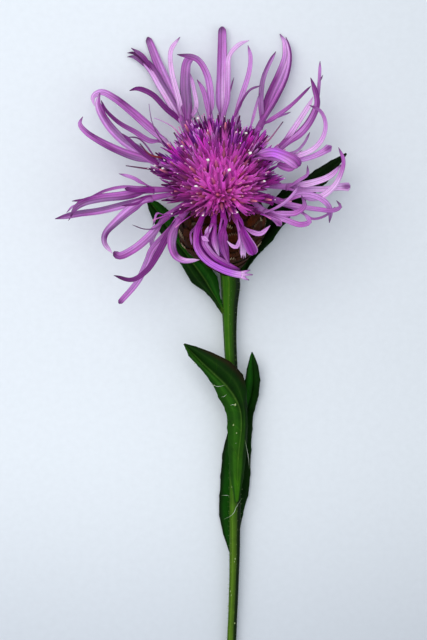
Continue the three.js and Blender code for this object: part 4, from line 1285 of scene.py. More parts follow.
@dataclass
class DiscFlorets:
    """The brush of disc florets: tubes with five lobes each, anther columns and styles."""

    count: int = 136
    fillers: int = 34
    filler_fan: float = 1.15
    filler_lean: Pair = (42.0, 50.0)  # the least, and how much more, in degrees
    filler_share: float = 0.8
    length_front: float = 12.6
    length_back: float = 13.8
    longest: float = 1.01
    unevenness: Pair = (0.17, 0.27)
    lobe_length: float = 4.2
    foot_height: float = 2.2
    foot_spread: float = 1.6
    lean_front: float = math.radians(84)
    lean_back: float = math.radians(46)
    lobes: int = 5
    lobe_width: float = 0.56
    lobe_thickness: float = 0.06
    lobe_steps: int = 8
    foreshortened: Pair = (0.86, 0.98)
    style_share: float = 0.2
    crumb_share: float = 0.35
    # The brush's middle as the camera sees it, and how far out from it the painted light reaches:
    # towards it tubes, lobes, columns and core turn brighter, partly the young florets' hot magenta
    # and partly painted light where light falls down into the brush.
    bright_middle: Place = (221.0, 182.0, 0.0)
    bright_reach: Pair = (2.0, 9.0)
    dark_reach: Pair = (3.0, 7.5)
    dark_below: Pair = (33.5, 30.0)
    depth: float = 0.62
    bodies: Tuple[Tone, ...] = (
        Tone.FUCHSIA, Tone.CERISE, Tone.PURPLE, Tone.HOT_MAGENTA, Tone.MAUVE, Tone.CURRANT,
        Tone.FUCHSIA, Tone.ROYAL, Tone.CERISE,
    )
    ends: Tuple[Tone, ...] = (
        Tone.MAUVE, Tone.PURPLE, Tone.FUCHSIA, Tone.LILAC, Tone.CURRANT, Tone.PURPLE,
    )
    column_ends: Tuple[Tone, ...] = (
        Tone.COLUMN, Tone.DEEP_PURPLE, Tone.PURPLE, Tone.COLUMN, Tone.MAUVE, Tone.COLUMN,
        Tone.PEACH,
    )
    # The dome's profile: its radius, and the distance from the head's mouth.
    core: Tuple[Pair, ...] = (
        (0.3, 0.0), (2.7, 0.1), (3.0, 1.4), (4.0, 2.6), (5.05, 4.5), (4.95, 6.3), (3.45, 7.8),
        (0.3, 8.55),
    )
    core_tubes: int = 26
    core_rings: int = 40

    @staticmethod
    def round_head(back: float, front: float, turn: float) -> float:
        """A measure at a turn round the head, from the one at its back and the one at its front."""
        return back + (front - back) * (1 + math.sin(turn)) / 2

    def outward(self, i: int) -> Tuple[Array, float, float]:
        """Finds where a floret points.

        Args:
            i: Its number.

        Returns:
            Its direction, its turn round the axis, and its share from the middle out.
        """
        if i >= self.count:
            turn = math.pi / 2 + self.filler_fan * (2 * scatter(i, 16) - 1)
            least, more = self.filler_lean
            lean = math.radians(least + more * scatter(i, 17))
            return HEAD.direction(lean, turn), turn, self.filler_share
        turn = i * GOLDEN_TURN
        limit = self.round_head(self.lean_back, self.lean_front, turn)
        share = (i + 0.5) / self.count
        lean = math.acos(1 - share * (1 - math.cos(limit)))
        return HEAD.direction(lean, turn), turn, share

    def draw_floret(self, petals: Sketch, columns: Sketch, i: int) -> None:
        """Adds one floret.

        Those that face the camera are shorter and fewer, which opens the brush's bright middle.

        Args:
            petals: The piece that takes its tube and lobes.
            columns: The piece that takes its anther column and style.
            i: Its number from the middle out.
        """
        out, turn, share = self.outward(i)
        upright = float(smooth(*self.foreshortened, float(out @ UP)))
        length = self.round_head(self.length_back, self.length_front, turn)
        rough = self.unevenness[share >= 0.7]
        reach = length * (self.longest - rough * scatter(i, 2)) * (1 - 0.27 * upright)
        if i >= self.count:
            reach *= 0.66 + 0.2 * scatter(i, 18)
        elif upright > 0.55 and i % 2:
            return
        foot = HEAD.mouth + HEAD.axis * self.foot_height
        foot = foot + HEAD.direction(math.pi / 2, turn) * self.foot_spread * share
        split = HEAD.mouth + out * (reach - self.lobe_length)
        body, end = picked(self.bodies, i, 5), picked(self.ends, i, 13)
        rod(petals, bowed(foot, split, UP * 0.05), (0.18, 0.3, 0.46),
            (Tone.CERISE, Tone.FUCHSIA, body), sides=10, steps=5, seed=i)
        right = unit(np.cross(out, HEAD.side if abs(float(out @ HEAD.side)) < 0.8 else HEAD.axis))
        up = np.cross(right, out)
        spread = 0.02 + 0.05 * share + 0.13 * scatter(i, 6)
        for k in range(self.lobes):
            side = turned(right, up, 2 * math.pi * (k / self.lobes + scatter(i, 3)))
            self.draw_lobe(petals, split, (out, side), spread, (i, k), (body, body, end))
        rise = self.lobe_length * (0.85 + 0.35 * scatter(i, 7))
        most = length * self.longest - reach + self.lobe_length
        tip = split + out * min(rise, most) + right * 0.3 * (scatter(i, 8) - 0.5)
        rod(columns, Path([split - out * 0.4, (split + tip) / 2, tip]),
            (0.24, 0.3, 0.29, 0.25, 0.1),
            (Tone.COLUMN, Tone.COLUMN, Tone.DEEP_PURPLE, picked(self.column_ends, i, 14)), seed=i)
        if scatter(i, 9) < self.style_share:
            far = HEAD.mouth + out * length * self.longest
            rod(columns, Path([tip - out * 0.4, (tip + far) / 2 + right * 0.1, far]),
                (0.08, 0.08, 0.1), (Tone.PURPLE, Tone.MAUVE, Tone.ROSE), sides=6, steps=4, seed=i)
        if scatter(i, 15) < self.crumb_share:
            size = 0.06 + 0.09 * scatter(i, 19)
            middle, half = tip - out * size * 2 + UP * 0.2, out * size * 1.6
            rod(columns, bowed(middle - half, middle + half), (0.02, size, size * 0.8, 0.02),
                (Tone.PALE, Tone.POLLEN, Tone.PALE), sides=6, steps=4)

    def draw_lobe(self, petals: Sketch, split: Array, ways: Tuple[Array, Array],
                  spread: float, numbers: Tuple[int, int], tones: Sequence[Tone]) -> None:
        """Adds one narrow lobe that rises from the tube's mouth and curls at its tip.

        Args:
            petals: The piece that it joins.
            split: The middle of the tube's mouth.
            ways: The floret's direction, and the one to the lobe's side of it.
            spread: How far it leans out, in radians.
            numbers: The floret's number and the lobe's.
            tones: Its colours from root to tip.
        """
        (out, side), (i, k) = ways, numbers
        length = self.lobe_length * (0.74 + 0.3 * scatter(i + 7 * k, 4))
        shares = np.linspace(0, 1, self.lobe_steps + 1)
        curl = 0.8 * (scatter(i + 3 * k, 10) - 0.5)
        lean = spread * (0.6 + 0.8 * shares) + curl * shares ** 3
        onward = np.cos(lean)[:, None] * out + np.sin(lean)[:, None] * side
        walked = np.cumsum(onward[:-1] * (length / self.lobe_steps), axis=0)
        centres = split - out * 0.25 + side * 0.4 + np.vstack([np.zeros(3), walked])
        flat = np.cross(out, side)
        inward = unit(np.cross(onward, flat))[:, None]
        half = np.interp(shares, [0, 0.2, 0.78, 1], [1.1, 1.0, 0.88, 0.2])[:, None, None]
        half = self.lobe_width / 2 * half
        thick = inward * (self.lobe_thickness * (1 - 0.5 * shares))[:, None, None]
        section = np.array([(-1, 0.6), (-0.45, 0.1), (0.45, 0.1), (1, 0.6)])
        rim = centres[:, None] + flat * section[:, 0:1] * half + inward * (section[:, 1:2] * half)
        column = np.array([-1, -0.4, 0.4, 1])
        shade = (0.62 + 0.6 * scatter(i, 20)) * (0.8 + 0.4 * scatter(i + k, 11))
        # painted highlight: the lobe's two edge columns are painted lighter
        shade = shade * (0.86 + 0.5 * (abs(column) > 0.9))[:, None]
        tints = blended(tones, shares)[:, None] * shade
        petals.sheet(rim + thick, rim - thick, tints, column * 0.5, shares * length, i + 0.2 * k)

    def near_middle(self, reach: Pair, points: Array) -> Array:
        """How near points are to the brush's middle, where painted light is laid on, as the camera
        sees it, from 0 to 1.
        """
        flat = (points - PICTURE.at(*self.bright_middle))[..., :2]
        return 1 - smooth(*reach, np.linalg.norm(flat, axis=-1))

    def draw_core(self, petals: Sketch) -> None:
        """Adds the ridged dome of packed tubes that shows between the florets.

        Args:
            petals: The piece that it joins.
        """
        turns = ring_turns(6 * self.core_tubes)
        tube = np.round(turns * self.core_tubes / (2 * math.pi))
        profile = Path([np.array([radius, along, 0.0]) for radius, along in self.core])
        radius, along, _ = profile.places(np.linspace(0, 1, self.core_rings)).T[..., None]
        ridge = np.cos(turns * self.core_tubes)
        swell = 1 + 0.045 * ridge + 0.03 * np.sin(along * 1.7 + 2.1 * tube)
        out = spokes(HEAD.side, HEAD.front, turns)
        rings = HEAD.mouth + HEAD.axis * along[..., None] + out * (radius * swell)[..., None]
        own = np.array([scatter(int(i), 21) for i in tube])
        tints = blended((Tone.CURRANT, Tone.CERISE, Tone.FUCHSIA, Tone.MAUVE), own)
        # painted light: the core turns hot magenta towards the brush's middle
        tints = mixed(tints, Tone.HOT_MAGENTA, 0.45 * self.near_middle(self.bright_reach, rings))
        # painted shade: darker in the grooves between the packed tubes, lighter on their crests
        petals.skin(rings, tints * (0.72 + 0.28 * ridge)[:, None], ridge, along)

    def build(self, petal: Finish, grain: Finish) -> None:
        """Makes the brush and its columns.

        Args:
            petal: The finish of tubes and lobes.
            grain: The finish of columns, styles and pollen.
        """
        petals, columns = Sketch("disc_florets_brush"), Sketch("disc_anthers")
        for i in range(self.count + self.fillers):
            self.draw_floret(petals, columns, i)
        for n, points in enumerate(petals.points):
            far = 1 - self.near_middle(self.dark_reach, points)
            low = smooth(*self.dark_below, points[..., 1])
            petals.tints[n] = mixed(petals.tints[n], Tone.CURRANT, self.depth * far * low)
        # painted light: tubes and lobes turn hot magenta, and columns peach as painted highlights,
        # towards the brush's middle
        for sketch, tone, most in ((petals, Tone.HOT_MAGENTA, 0.92), (columns, Tone.PEACH, 0.62)):
            sketch.tints = [mixed(tints, tone, most * self.near_middle(self.bright_reach, points))
                            for tints, points in zip(sketch.tints, sketch.points)]
        self.draw_core(petals)
        petals.piece(petal, "disc_magenta", "disc_florets")
        columns.piece(grain, "disc_magenta")


@dataclass
class Pollen:
    """White pollen on the tips of dark anther columns that stand out of the brush."""

    reach: float = 12.1
    most_reach: float = 13.6
    column_length: float = 5.0
    crumbs: int = 9
    # Where each column ends, how far its foot lies from its tip on the picture, and its size.
    tips: Tuple[Tuple[float, float, float, float, float], ...] = (
        (182, 147, 5, 8, 0.26), (208, 161, 0, 12, 0.31), (229, 171, -6, 11, 0.33),
        (250, 154, -6, 8, 0.36), (196, 187, 15, 7, 0.26), (246, 134, -3, 9, 0.28),
        (264, 182, -9, 3, 0.24), (237, 213, -5, -6, 0.2), (203, 216, 3, -8, 0.2),
        (198, 119, 4, 11, 0.26), (155, 166, 10, 3, 0.2), (163, 169, 9, 3, 0.24),
    )

    def on_brush(self, px: float, py: float, reach: float) -> Array:
        """The point over a pixel that lies at a distance from the head's mouth."""
        flat = PICTURE.at(px, py, 0) - HEAD.mouth * np.array([1, 1, 0])
        height = math.sqrt(max(reach ** 2 - float(flat @ flat), 1.0))
        return PICTURE.at(px, py, float(HEAD.mouth[2]) + height)

    def build(self, finish: Finish) -> None:
        """Makes the columns with their crumbs of pollen.

        Args:
            finish: Their finish.
        """
        sketch = Sketch("pollen_columns")
        for n, (px, py, back_x, back_y, size) in enumerate(self.tips):
            flat = math.hypot(px - HEAD.mouth_px[0], py - HEAD.mouth_px[1]) * PICTURE.mm_per_px
            reach = max(self.reach, flat + 1.0) if flat < 12.0 else flat + 0.4
            reach = min(reach, self.most_reach)
            tip = self.on_brush(px, py, reach)
            foot = self.on_brush(px + back_x, py + back_y, reach - self.column_length * 0.55)
            rod(sketch, bowed(foot, tip, HEAD.front * 0.1), (0.16, 0.22, 0.22, 0.12),
                (Tone.COLUMN, Tone.COLUMN, Tone.DEEP_PURPLE, Tone.ROSE), steps=7, seed=n)
            for k in range(self.crumbs):
                lean, turn = math.acos(1 - 1.6 * (k + 0.5) / self.crumbs), k * 2.4
                out = turned(unit(tip - foot), turned(HEAD.side, HEAD.front, turn), lean)
                crumb, girth = tip + out * size * 0.5, size * (0.36 + 0.16 * scatter(k + n, 12))
                rod(sketch, bowed(crumb - out * girth, crumb + out * girth),
                    (0.03, girth * 0.8, girth, girth * 0.8, 0.03), (Tone.POLLEN,) * 2,
                    steps=4, seed=k)
        sketch.piece(finish, "disc_magenta")


@dataclass
class LooseThreads:
    """Single dark filaments and reddish anther tips that stand out of the edge of the brush."""

    # How far from the head's mouth each begins, and its thickness from there to its end.
    root_reach: float = 5.0
    taper: Tuple[float, ...] = (1.0, 1.2, 1.1, 0.6)
    threads: Tuple[Tuple[Tuple[Place, ...], float, Tuple[Tone, ...]], ...] = (
        (((160, 138, 8), (152, 122, 8), (149, 104, 7.6)), 0.09, (Tone.DARK, Tone.DARK, Tone.GREY)),
        (((175, 129, 6), (162, 121, 6), (154, 118, 6)), 0.1, (Tone.ROSE, Tone.ROSE, Tone.LILAC)),
        (((160, 171, 10.6), (143, 168.5, 10.8), (126, 166, 10.6)), 0.14,
         (Tone.WINE, Tone.WINE, Tone.DARK)),
        (((262, 147, 10), (270, 139, 10), (283, 122, 9.6)), 0.13,
         (Tone.WINE, Tone.ROSE, Tone.DARK)),
        (((234, 130, 8), (237, 126, 8), (240, 121, 8)), 0.12, (Tone.COLUMN, Tone.COLUMN)),
        (((168, 160, 10.5), (150, 155, 10.8), (140, 144, 10.6)), 0.16,
         (Tone.PURPLE, Tone.WINE, Tone.RUST, Tone.DARK)),
        (((203, 124, 6.4), (199, 115, 6.4), (196, 107, 6.4)), 0.1,
         (Tone.COLUMN, Tone.COLUMN, Tone.GREY)),
    )

    def build(self, finish: Finish) -> None:
        """Makes the threads.

        Args:
            finish: Their finish.
        """
        sketch = Sketch("loose_threads")
        for n, (places, radius, tones) in enumerate(self.threads):
            foot = HEAD.mouth + unit(PICTURE.at(*places[0]) - HEAD.mouth) * self.root_reach
            radii = [radius * part for part in self.taper]
            rod(sketch, Path([foot, *PICTURE.points(places)]), radii, tones,
                sides=6, steps=16, seed=n)
        sketch.piece(finish, "disc_magenta")


# ---- involucre

@dataclass
class Involucre:
    """The egg-shaped cup of overlapping scales, each with a fringed papery end."""

    # The cup's radius at distances from its base.
    profile: Tuple[Pair, ...] = (
        (1.55, 1.2), (1.9, 2), (3.6, 4), (5.5, 6), (6.6, 8), (6.8, 10), (6.4, 12), (5.8, 14),
        (5.3, 15.56),
    )
    # Each row of scales: its distance from the base, how many, and their length.
    rows: Tuple[Tuple[float, int, float], ...] = (
        (1.3, 8, 2.2), (2.4, 10, 2.6), (3.7, 12, 2.9), (5.1, 14, 3.1), (6.6, 15, 3.3),
        (8.3, 16, 3.4), (10.1, 16, 3.5), (11.9, 16, 3.4),
    )
    cup_span: Pair = (1.2, 15.5)
    cup_grid: Tuple[int, int] = (24, 40)
    bulge_left: float = 0.5
    bulge_down: float = 0.9
    bulge_until: float = 13.0
    overlap: float = 1.3
    thickness: float = 0.12
    most_lift: float = 0.86
    teeth: int = 9
    # A scale's width at shares of its length.
    outline: Curve = (
        (0, 0.36, 0.58, 0.66, 0.8, 1.0), (0.75, 1.0, 0.72, 0.95, 1.02, 0.86),
    )
    stations: Tuple[float, ...] = (0, 0.18, 0.36, 0.52, 0.6, 0.68, 0.78, 0.88, 0.95, 1.0)

    def on_cup(self, along: Array, turn: Array, lift: Amount) -> Array:
        """Finds points over the cup.

        Args:
            along: Their distances from its base.
            turn: Their turns round it.
            lift: How far they are proud of it.

        Returns:
            The points.
        """
        widths, heights = np.array(self.profile).T
        share = np.clip((along - heights[0]) / (self.bulge_until - heights[0]), 0, 1)
        lean = HEAD.side * self.bulge_left + HEAD.front * self.bulge_down
        foot = HEAD.base + HEAD.axis * along[..., None] - lean * np.sin(math.pi * share)[..., None]
        radius = np.interp(along, heights, widths) + lift
        return foot + spokes(HEAD.side, HEAD.front, turn) * radius[..., None]

    def draw_cup(self, sketch: Sketch) -> None:
        """Adds the cup under the scales, painted dark as the shade in the gaps between them.

        Args:
            sketch: The piece that it joins.
        """
        rows, sides = self.cup_grid
        along = np.repeat(np.linspace(*self.cup_span, rows)[:, None], sides, axis=1)
        turns = np.repeat(ring_turns(sides)[None], rows, axis=0)
        # painted shade: the cup is darker than the darkest scale, so the gaps between scales read as
        # shade
        sketch.skin(self.on_cup(along, turns, -0.08), Tone.BRACT_DARK.linear * 0.6, 0.0, along)

    def draw_scale(self, sketch: Sketch, level: int, i: int) -> None:
        """Adds one scale.

        Args:
            sketch: The piece that it joins.
            level: Its row, from the base.
            i: Its place in the row.
        """
        start, count, length = self.rows[level]
        key = 31 * level + i
        middle = 2 * math.pi * (i + (level % 2) / 2) / count + 0.06 * (scatter(key, 1) - 0.5)
        reach = length * (0.92 + 0.16 * scatter(key, 2))
        v = np.linspace(-1, 1, 2 * self.teeth + 1)
        shares = np.array(self.stations)[:, None]
        fringe = 0.5 + 0.5 * np.cos(np.arange(len(v)) * math.pi)
        ragged = np.array([scatter(key * 3 + j, 3) for j in range(len(v))])
        edge = (0.05 + 0.16 * fringe * (0.6 + 0.6 * ragged)) * smooth(0.66, 1.0, shares)
        rounding = 0.24 * v ** 2 * smooth(0.3, 1.0, shares)
        along = start + reach * (shares - rounding + edge)
        turn = middle + math.pi / count * self.overlap * np.interp(shares, *self.outline) * v
        lift = 0.05 + 0.42 * shares ** 0.8 + 0.2 * (1 - v ** 2) * smooth(0, 0.5, shares)
        lift = lift + 0.12 * (scatter(key, 4) - 0.4) * smooth(0.6, 1, shares)
        lift = np.minimum(lift + 0.07 * (ragged - 0.5) * smooth(0.8, 1, shares), self.most_lift)
        papery = smooth(0.56, 0.64, shares)
        rim = np.clip(smooth(0.93, 1.0, shares) + 0.4 * smooth(0.82, 1.0, abs(v)) * papery, 0, 1)
        base = mixed(Tone.BRACT_DARK, Tone.BRACT_OLIVE, smooth(0.5, 0.1, start / 12.0) * 0.8)
        cap = mixed(Tone.BRACT_DARK, Tone.BRACT_RED, 0.25 + 0.7 * scatter(key, 5))
        # Pale fringe tips: partly the papery fringe's own tan, partly painted glints.
        pale = (0.05 + 0.95 * (scatter(key, 6) > 0.74)) * (0.08 + 0.92 * ragged ** 2.2)
        tints = mixed(mixed(base, cap, papery), Tone.BRACT_TAN, rim * pale)
        top, under = (self.on_cup(along, turn, lift - depth) for depth in (0.0, self.thickness))
        sketch.sheet(top, under, tints, v, shares[:, 0] * length, key, shade=0.7)

    def build(self, finish: Finish) -> None:
        """Makes the cup and its scales.

        Args:
            finish: Their finish.
        """
        sketch = Sketch("involucre_scales")
        self.draw_cup(sketch)
        for level, (_, count, _) in enumerate(self.rows):
            for i in range(count):
                self.draw_scale(sketch, level, i)
        sketch.piece(finish, "bract_brown", "involucre")


# ---- leaves

Station = Tuple[Place, Place, Place]


@dataclass
class Leaf:
    """A narrow leaf blade, by stations from base to tip: its midrib, left edge and right edge."""

    name: str
    curl: float
    stations: Tuple[Station, ...]
    # The halves' colours carry painted light and painted shade over the leaf's green: a half that
    # faces the light is painted lighter, one turned away darker, as the blade folds at its midrib.
    left: Tone
    right: Tone
    rib: Tone
    rim_left: Tone
    rim_right: Tone
    foot: Tone
    foot_reach: float = 0.3
    # Where along the blade the rims are painted, as shares of its length; the pale green rim is
    # painted light where the curled edge catches the light, and the brown rim is the edge's own
    # colour.
    rim_span: Pair = (-1.0, 2.0)
    thickness: float = 0.24
    rib_thickness: float = 0.18
    above: float = 0.06
    steps: int = 84
    columns: int = 21
    ripple: float = 0.13
    groove: float = 0.12
    tooth: float = 0.12
    fineness: int = 28
    full_curl_width: float = 3.0

    def build(self, finish: Finish) -> None:
        """Makes the blade, bowed on both sides of a grooved midrib, with wavy toothed edges.

        Args:
            finish: The leaf's finish.
        """
        sketch = Sketch(f"blade_{self.name}")
        shares, v = np.linspace(0, 1, self.steps + 1), np.linspace(-1, 1, self.columns)
        rib, left, right = (self.line(k, shares) for k in range(3))
        sideways, off = unit(right - left), abs(v)
        up = unit(np.cross(sideways, unit(np.gradient(rib, axis=0))))
        along = shares * float(np.linalg.norm(np.diff(rib, axis=0), axis=1).sum())
        width = np.linalg.norm(right - left, axis=1)
        bow = self.curl * np.minimum(1, width / self.full_curl_width)[:, None]
        outward = np.where(v[None, :, None] < 0, left[:, None], right[:, None]) - rib[:, None]
        fade = np.sin(math.pi * np.clip(shares, 0.02, 0.98))[:, None] ** 0.5
        ripple = self.ripple * np.sin(along[:, None] * 1.3 + 2.0 * (v < 0)) * off ** 3
        groove = -self.groove * np.exp(-(v / 0.09) ** 2)
        lift = bow * 4 * off * (1 - off) + (ripple + groove) * fade
        teeth = self.tooth * np.maximum(0, np.sin(along * 2.1 + 0.7))[:, None] ** 3
        teeth = teeth * (off > 0.98) * fade
        surface = rib[:, None] + outward * off[:, None] + up[:, None] * lift[..., None]
        surface = surface + sideways[:, None] * (np.sign(v) * teeth)[..., None]
        thick = self.thickness * (1 - 0.5 * off) + self.rib_thickness * np.exp(-(v / 0.1) ** 2)
        thick = thick * (0.35 + 0.65 * fade)
        top = surface + up[:, None] * self.above
        under = top - up[:, None] * thick[..., None]
        tints = self.paint(v, shares[:, None])
        sketch.sheet(top, under, tints, v, along, len(self.name), shade=1.15)
        sketch.piece(finish, "leaf_green", self.name)

    def line(self, k: int, shares: Array) -> Array:
        """Points of the rib or an edge, spread by the stations rather than by length."""
        line = Path([PICTURE.at(*station[k]) for station in self.stations], self.fineness).line
        return line[(shares * (len(line) - 1)).round().astype(int)]

    def paint(self, v: Array, shares: Array) -> Array:
        """Paints the blade's two halves in painted light and painted shade, its midrib and rims (the
        pale green rim painted light), and the foot's own colour.

        Args:
            v: Places across it, from -1 on its left to 1 on its right.
            shares: Shares of its length, one a row.

        Returns:
            A linear colour for each place.
        """
        off, (low, high) = abs(v), self.rim_span
        # painted light and painted shade on the two halves
        halves = mixed(self.left, self.right, smooth(-0.12, 0.12, v))
        inner = 1 + 0.5 * (smooth(0.15, 0.35, off) - smooth(0.4, 0.8, off))
        # rims: the pale green one is painted light on the curled edge, within the span
        rims = mixed(self.rim_left, self.rim_right, v > 0)
        lit = smooth(low - 0.04, low + 0.04, shares)
        lit = lit * (1 - smooth(high - 0.04, high + 0.04, shares))
        tints = mixed(halves * inner[:, None], rims, 0.85 * lit * smooth(0.68, 0.92, off))
        lines = np.exp(-(v / 0.05) ** 2) + 0.2 * np.exp(-((off - 0.5) / 0.05) ** 2)
        tints = mixed(tints, self.rib, 0.6 * (1 - 0.6 * shares) * lines)
        foot = 0.75 * (1 - smooth(0.0, self.foot_reach, shares))
        return mixed(tints, self.foot, foot * (1 - 0.9 * smooth(0.3, 0.75, off)))


LEAVES: Tuple[Leaf, ...] = (
    Leaf("leaf_upper_left", 0.3, (
        ((223.0, 312.5, 2.5), (222.4, 314.5, 2.4), (223.8, 310, 2.6)),
        ((221.4, 308, 2.6), (219.8, 311, 2.5), (222.8, 304.5, 2.7)),
        ((217.2, 300, 2.75), (213.8, 301.5, 2.5), (220.4, 297.5, 2.95)),
        ((212, 291.5, 2.8), (205.5, 292.5, 2.4), (219.2, 288.5, 3.0)),
        ((204.6, 279, 2.7), (193, 283, 2.1), (217, 277.5, 2.9)),
        ((195, 265.5, 2.4), (182.5, 267, 1.8), (208, 265, 2.6)),
        ((186, 253.5, 2.1), (176.5, 255, 1.5), (195.5, 255, 2.4)),
        ((176, 240, 2.1), (167, 242, 1.5), (183, 241, 2.6)),
        ((165, 223, 2.5), (157, 227.5, 2.0), (174, 217.5, 3.2)),
        ((154.5, 207.5, 2.9), (149.7, 212, 2.6), (160.5, 203.5, 3.3)),
        ((146.5, 198.5, 3.4), (146, 199.3, 3.4), (147.3, 198, 3.5)),
    ), Tone.LEAF_DARK, Tone.LEAF_MID, Tone.LEAF_RIM, Tone.LEAF_MID, Tone.LEAF_RIM,
       foot=Tone.STEM_OLIVE, foot_reach=0.16, rim_span=(0.5, 0.68)),
    Leaf("leaf_upper_right", 0.3, (
        ((242.5, 276.5, 2.2), (239.5, 272.5, 2.0), (244.2, 277.3, 2.4)),
        ((247, 265, 1.4), (240.5, 261, 1.1), (251, 263.5, 1.8)),
        ((256, 249, 0.9), (248.5, 244, 0.6), (262, 251, 1.6)),
        ((265, 235, 1.1), (256, 229, 0.6), (272, 240.5, 1.9)),
        ((278, 216, 1.9), (268, 208, 1.4), (285.5, 222.5, 2.6)),
        ((293, 198, 2.9), (284, 189, 2.4), (301, 205, 3.4)),
        ((308, 185, 3.7), (301, 180, 3.4), (314, 194, 4.1)),
        ((322, 174, 4.2), (317, 169, 4.1), (327.5, 181.5, 4.5)),
        ((336, 162.5, 4.5), (333, 159.5, 4.5), (339, 166, 4.7)),
        ((346.5, 153.3, 4.6), (345.8, 153, 4.6), (347, 154, 4.7)),
    ), Tone.LEAF_BLACK, Tone.LEAF_BLACK, Tone.LEAF_MID, Tone.LEAF_BLACK, Tone.LEAF_DARK,
       foot=Tone.LEAF_LIT, foot_reach=0.36),
    Leaf("leaf_middle_left", 0.35, (
        ((237, 502, 3.9), (235, 503, 3.8), (239, 501, 3.8)),
        ((237.5, 480, 4.05), (231, 480, 3.75), (243, 480, 3.75)),
        ((238.5, 455, 4.15), (228.5, 455, 3.5), (246, 455, 3.5)),
        ((241.5, 428, 4.3), (227.5, 430, 3.9), (247.5, 428, 3.8)),
        ((240.5, 411, 4.6), (226, 412, 4.4), (247, 407, 4.2)),
        ((235, 398, 5.1), (219.5, 399, 5.0), (246.5, 392, 4.8)),
        ((226, 386, 5.6), (211, 382, 5.6), (243, 376, 5.6)),
        ((214, 374.5, 5.9), (199, 367, 6.0), (231, 362.5, 6.3)),
        ((200, 361, 5.9), (189, 356, 6.0), (212, 352.5, 6.4)),
        ((190, 350.5, 5.6), (186, 349.5, 5.7), (196, 346.5, 5.9)),
        ((184, 344, 5.3), (183.5, 344.3, 5.3), (184.8, 343.4, 5.3)),
    ), Tone.LEAF_LIT, Tone.LEAF_DARK, Tone.LEAF_RIM, Tone.LEAF_MID, Tone.LEAF_BROWN,
       foot=Tone.STEM_LIT, foot_reach=0.42, rim_span=(0.56, 0.86)),
    Leaf("leaf_middle_right", 0.1, (
        ((231.5, 554, 0.42), (229.5, 553, 0.42), (234, 552, 0.42)),
        ((232, 534, 0.4), (223.3, 534, 0.5), (239.5, 532, 0.5)),
        ((233, 513, 0.38), (219.2, 513, 0.7), (243.3, 513, 0.6)),
        ((234, 490, 0.38), (220, 490, 0.8), (249, 490, 0.8)),
        ((236, 465, 0.4), (221.3, 468, 0.7), (250.6, 463, 0.9)),
        ((239.5, 440, 0.5), (225, 442, 0.6), (251.6, 438, 1.0)),
        ((245, 416, 0.8), (234, 420, 0.7), (253.7, 414, 1.3)),
        ((250.5, 397, 1.3), (241, 399, 1.2), (258.2, 397, 1.7)),
        ((252.8, 380, 1.9), (245, 381, 1.9), (260, 380, 2.2)),
        ((252.3, 366, 2.4), (247.3, 367, 2.4), (257.6, 364, 2.6)),
        ((252, 352, 2.7), (251.4, 352.3, 2.7), (252.6, 352, 2.7)),
    ), Tone.LEAF_MID, Tone.LEAF_DARK, Tone.LEAF_MID, Tone.LEAF_BLACK, Tone.LEAF_DARK,
       foot=Tone.LEAF_MID),
)


# ---- stem

@dataclass
class Stem:
    """The ribbed stem, from its plain cut end to the base of the head."""

    # Its middle line and radius, from the cut end up.
    line: Tuple[Tuple[Place, float], ...] = (
        ((230.5, 690, 0.74), 0.72), ((231.7, 640, 1.2), 0.74), ((233.3, 600, 1.65), 0.76),
        ((234.5, 560, 2.0), 0.84), ((234.9, 520, 2.2), 0.9), ((235.2, 475, 2.32), 0.96),
        ((234.8, 430, 2.35), 1.0), ((232.6, 385, 2.3), 1.0), ((230.3, 340, 2.2), 1.05),
        ((230.0, 305, 2.1), 1.31),
    )
    into_head: float = 1.35
    neck: float = 2.65
    neck_radius: float = 1.66
    top_radius: float = 1.52
    ribs: int = 9
    rib_depth: float = 0.05
    twist: float = 0.35
    sides: int = 72
    steps: int = 260

    def path(self) -> Path:
        """The middle line, up into the base of the head."""
        top = HEAD.base + HEAD.axis * self.into_head
        places = PICTURE.points([place for place, _ in self.line])
        return Path([*places, top - HEAD.axis * self.neck, top])

    def radius(self, path: Path, shares: Array) -> Array:
        """The radius at shares of the middle line."""
        radii = [radius for _, radius in self.line] + [self.neck_radius, self.top_radius]
        stations = path.along[::(len(path.along) - 1) // (len(radii) - 1)]
        return np.interp(shares * path.length, stations, radii)

    def build(self, finish: Finish) -> None:
        """Makes the stem with its ribs, with painted light on its left and painted shade on its
        right.

        Args:
            finish: The stem's finish.
        """
        sketch, path = Sketch("stem_ribbed"), self.path()
        shares = np.linspace(0, 1, self.steps + 1)
        turns, along = ring_turns(self.sides), (shares * path.length)[:, None]
        ribs = self.ribs * (turns + self.twist * shares[:, None])
        rib = np.cos(ribs)
        radius = self.radius(path, shares)[:, None]
        radius = radius + self.rib_depth * (rib + 0.35 * np.cos(3 * ribs + 1.0) - 0.6)
        radius = radius * (1 + 0.012 * np.sin(along * 0.9))
        out = spokes(*across(path.tangents(shares)), turns)
        rings = path.places(shares)[:, None] + out * radius[..., None]
        rightward = np.cos(turns)
        # painted light on the left side; painted shade on the right side, and a little at the far
        # left edge
        lit = (1 - smooth(-0.45, 0.78, rightward)) * (0.5 + 0.5 * smooth(-0.98, -0.6, rightward))
        skin = mixed(Tone.STEM_OLIVE, Tone.STEM_LIT, smooth(0.3, 0.55, shares))[:, None]
        tints = mixed(Tone.STEM_SHADE, skin, lit)
        # painted highlight: yellow on the rib crests of the lit side
        tints = mixed(tints, Tone.STEM_YELLOW, 0.28 * smooth(0.4, 1.1, rib) * lit)
        sketch.skin(rings, tints, rightward * 2, along, np.sin(turns) * 6)
        sketch.piece(finish, "stem_green", "stem")


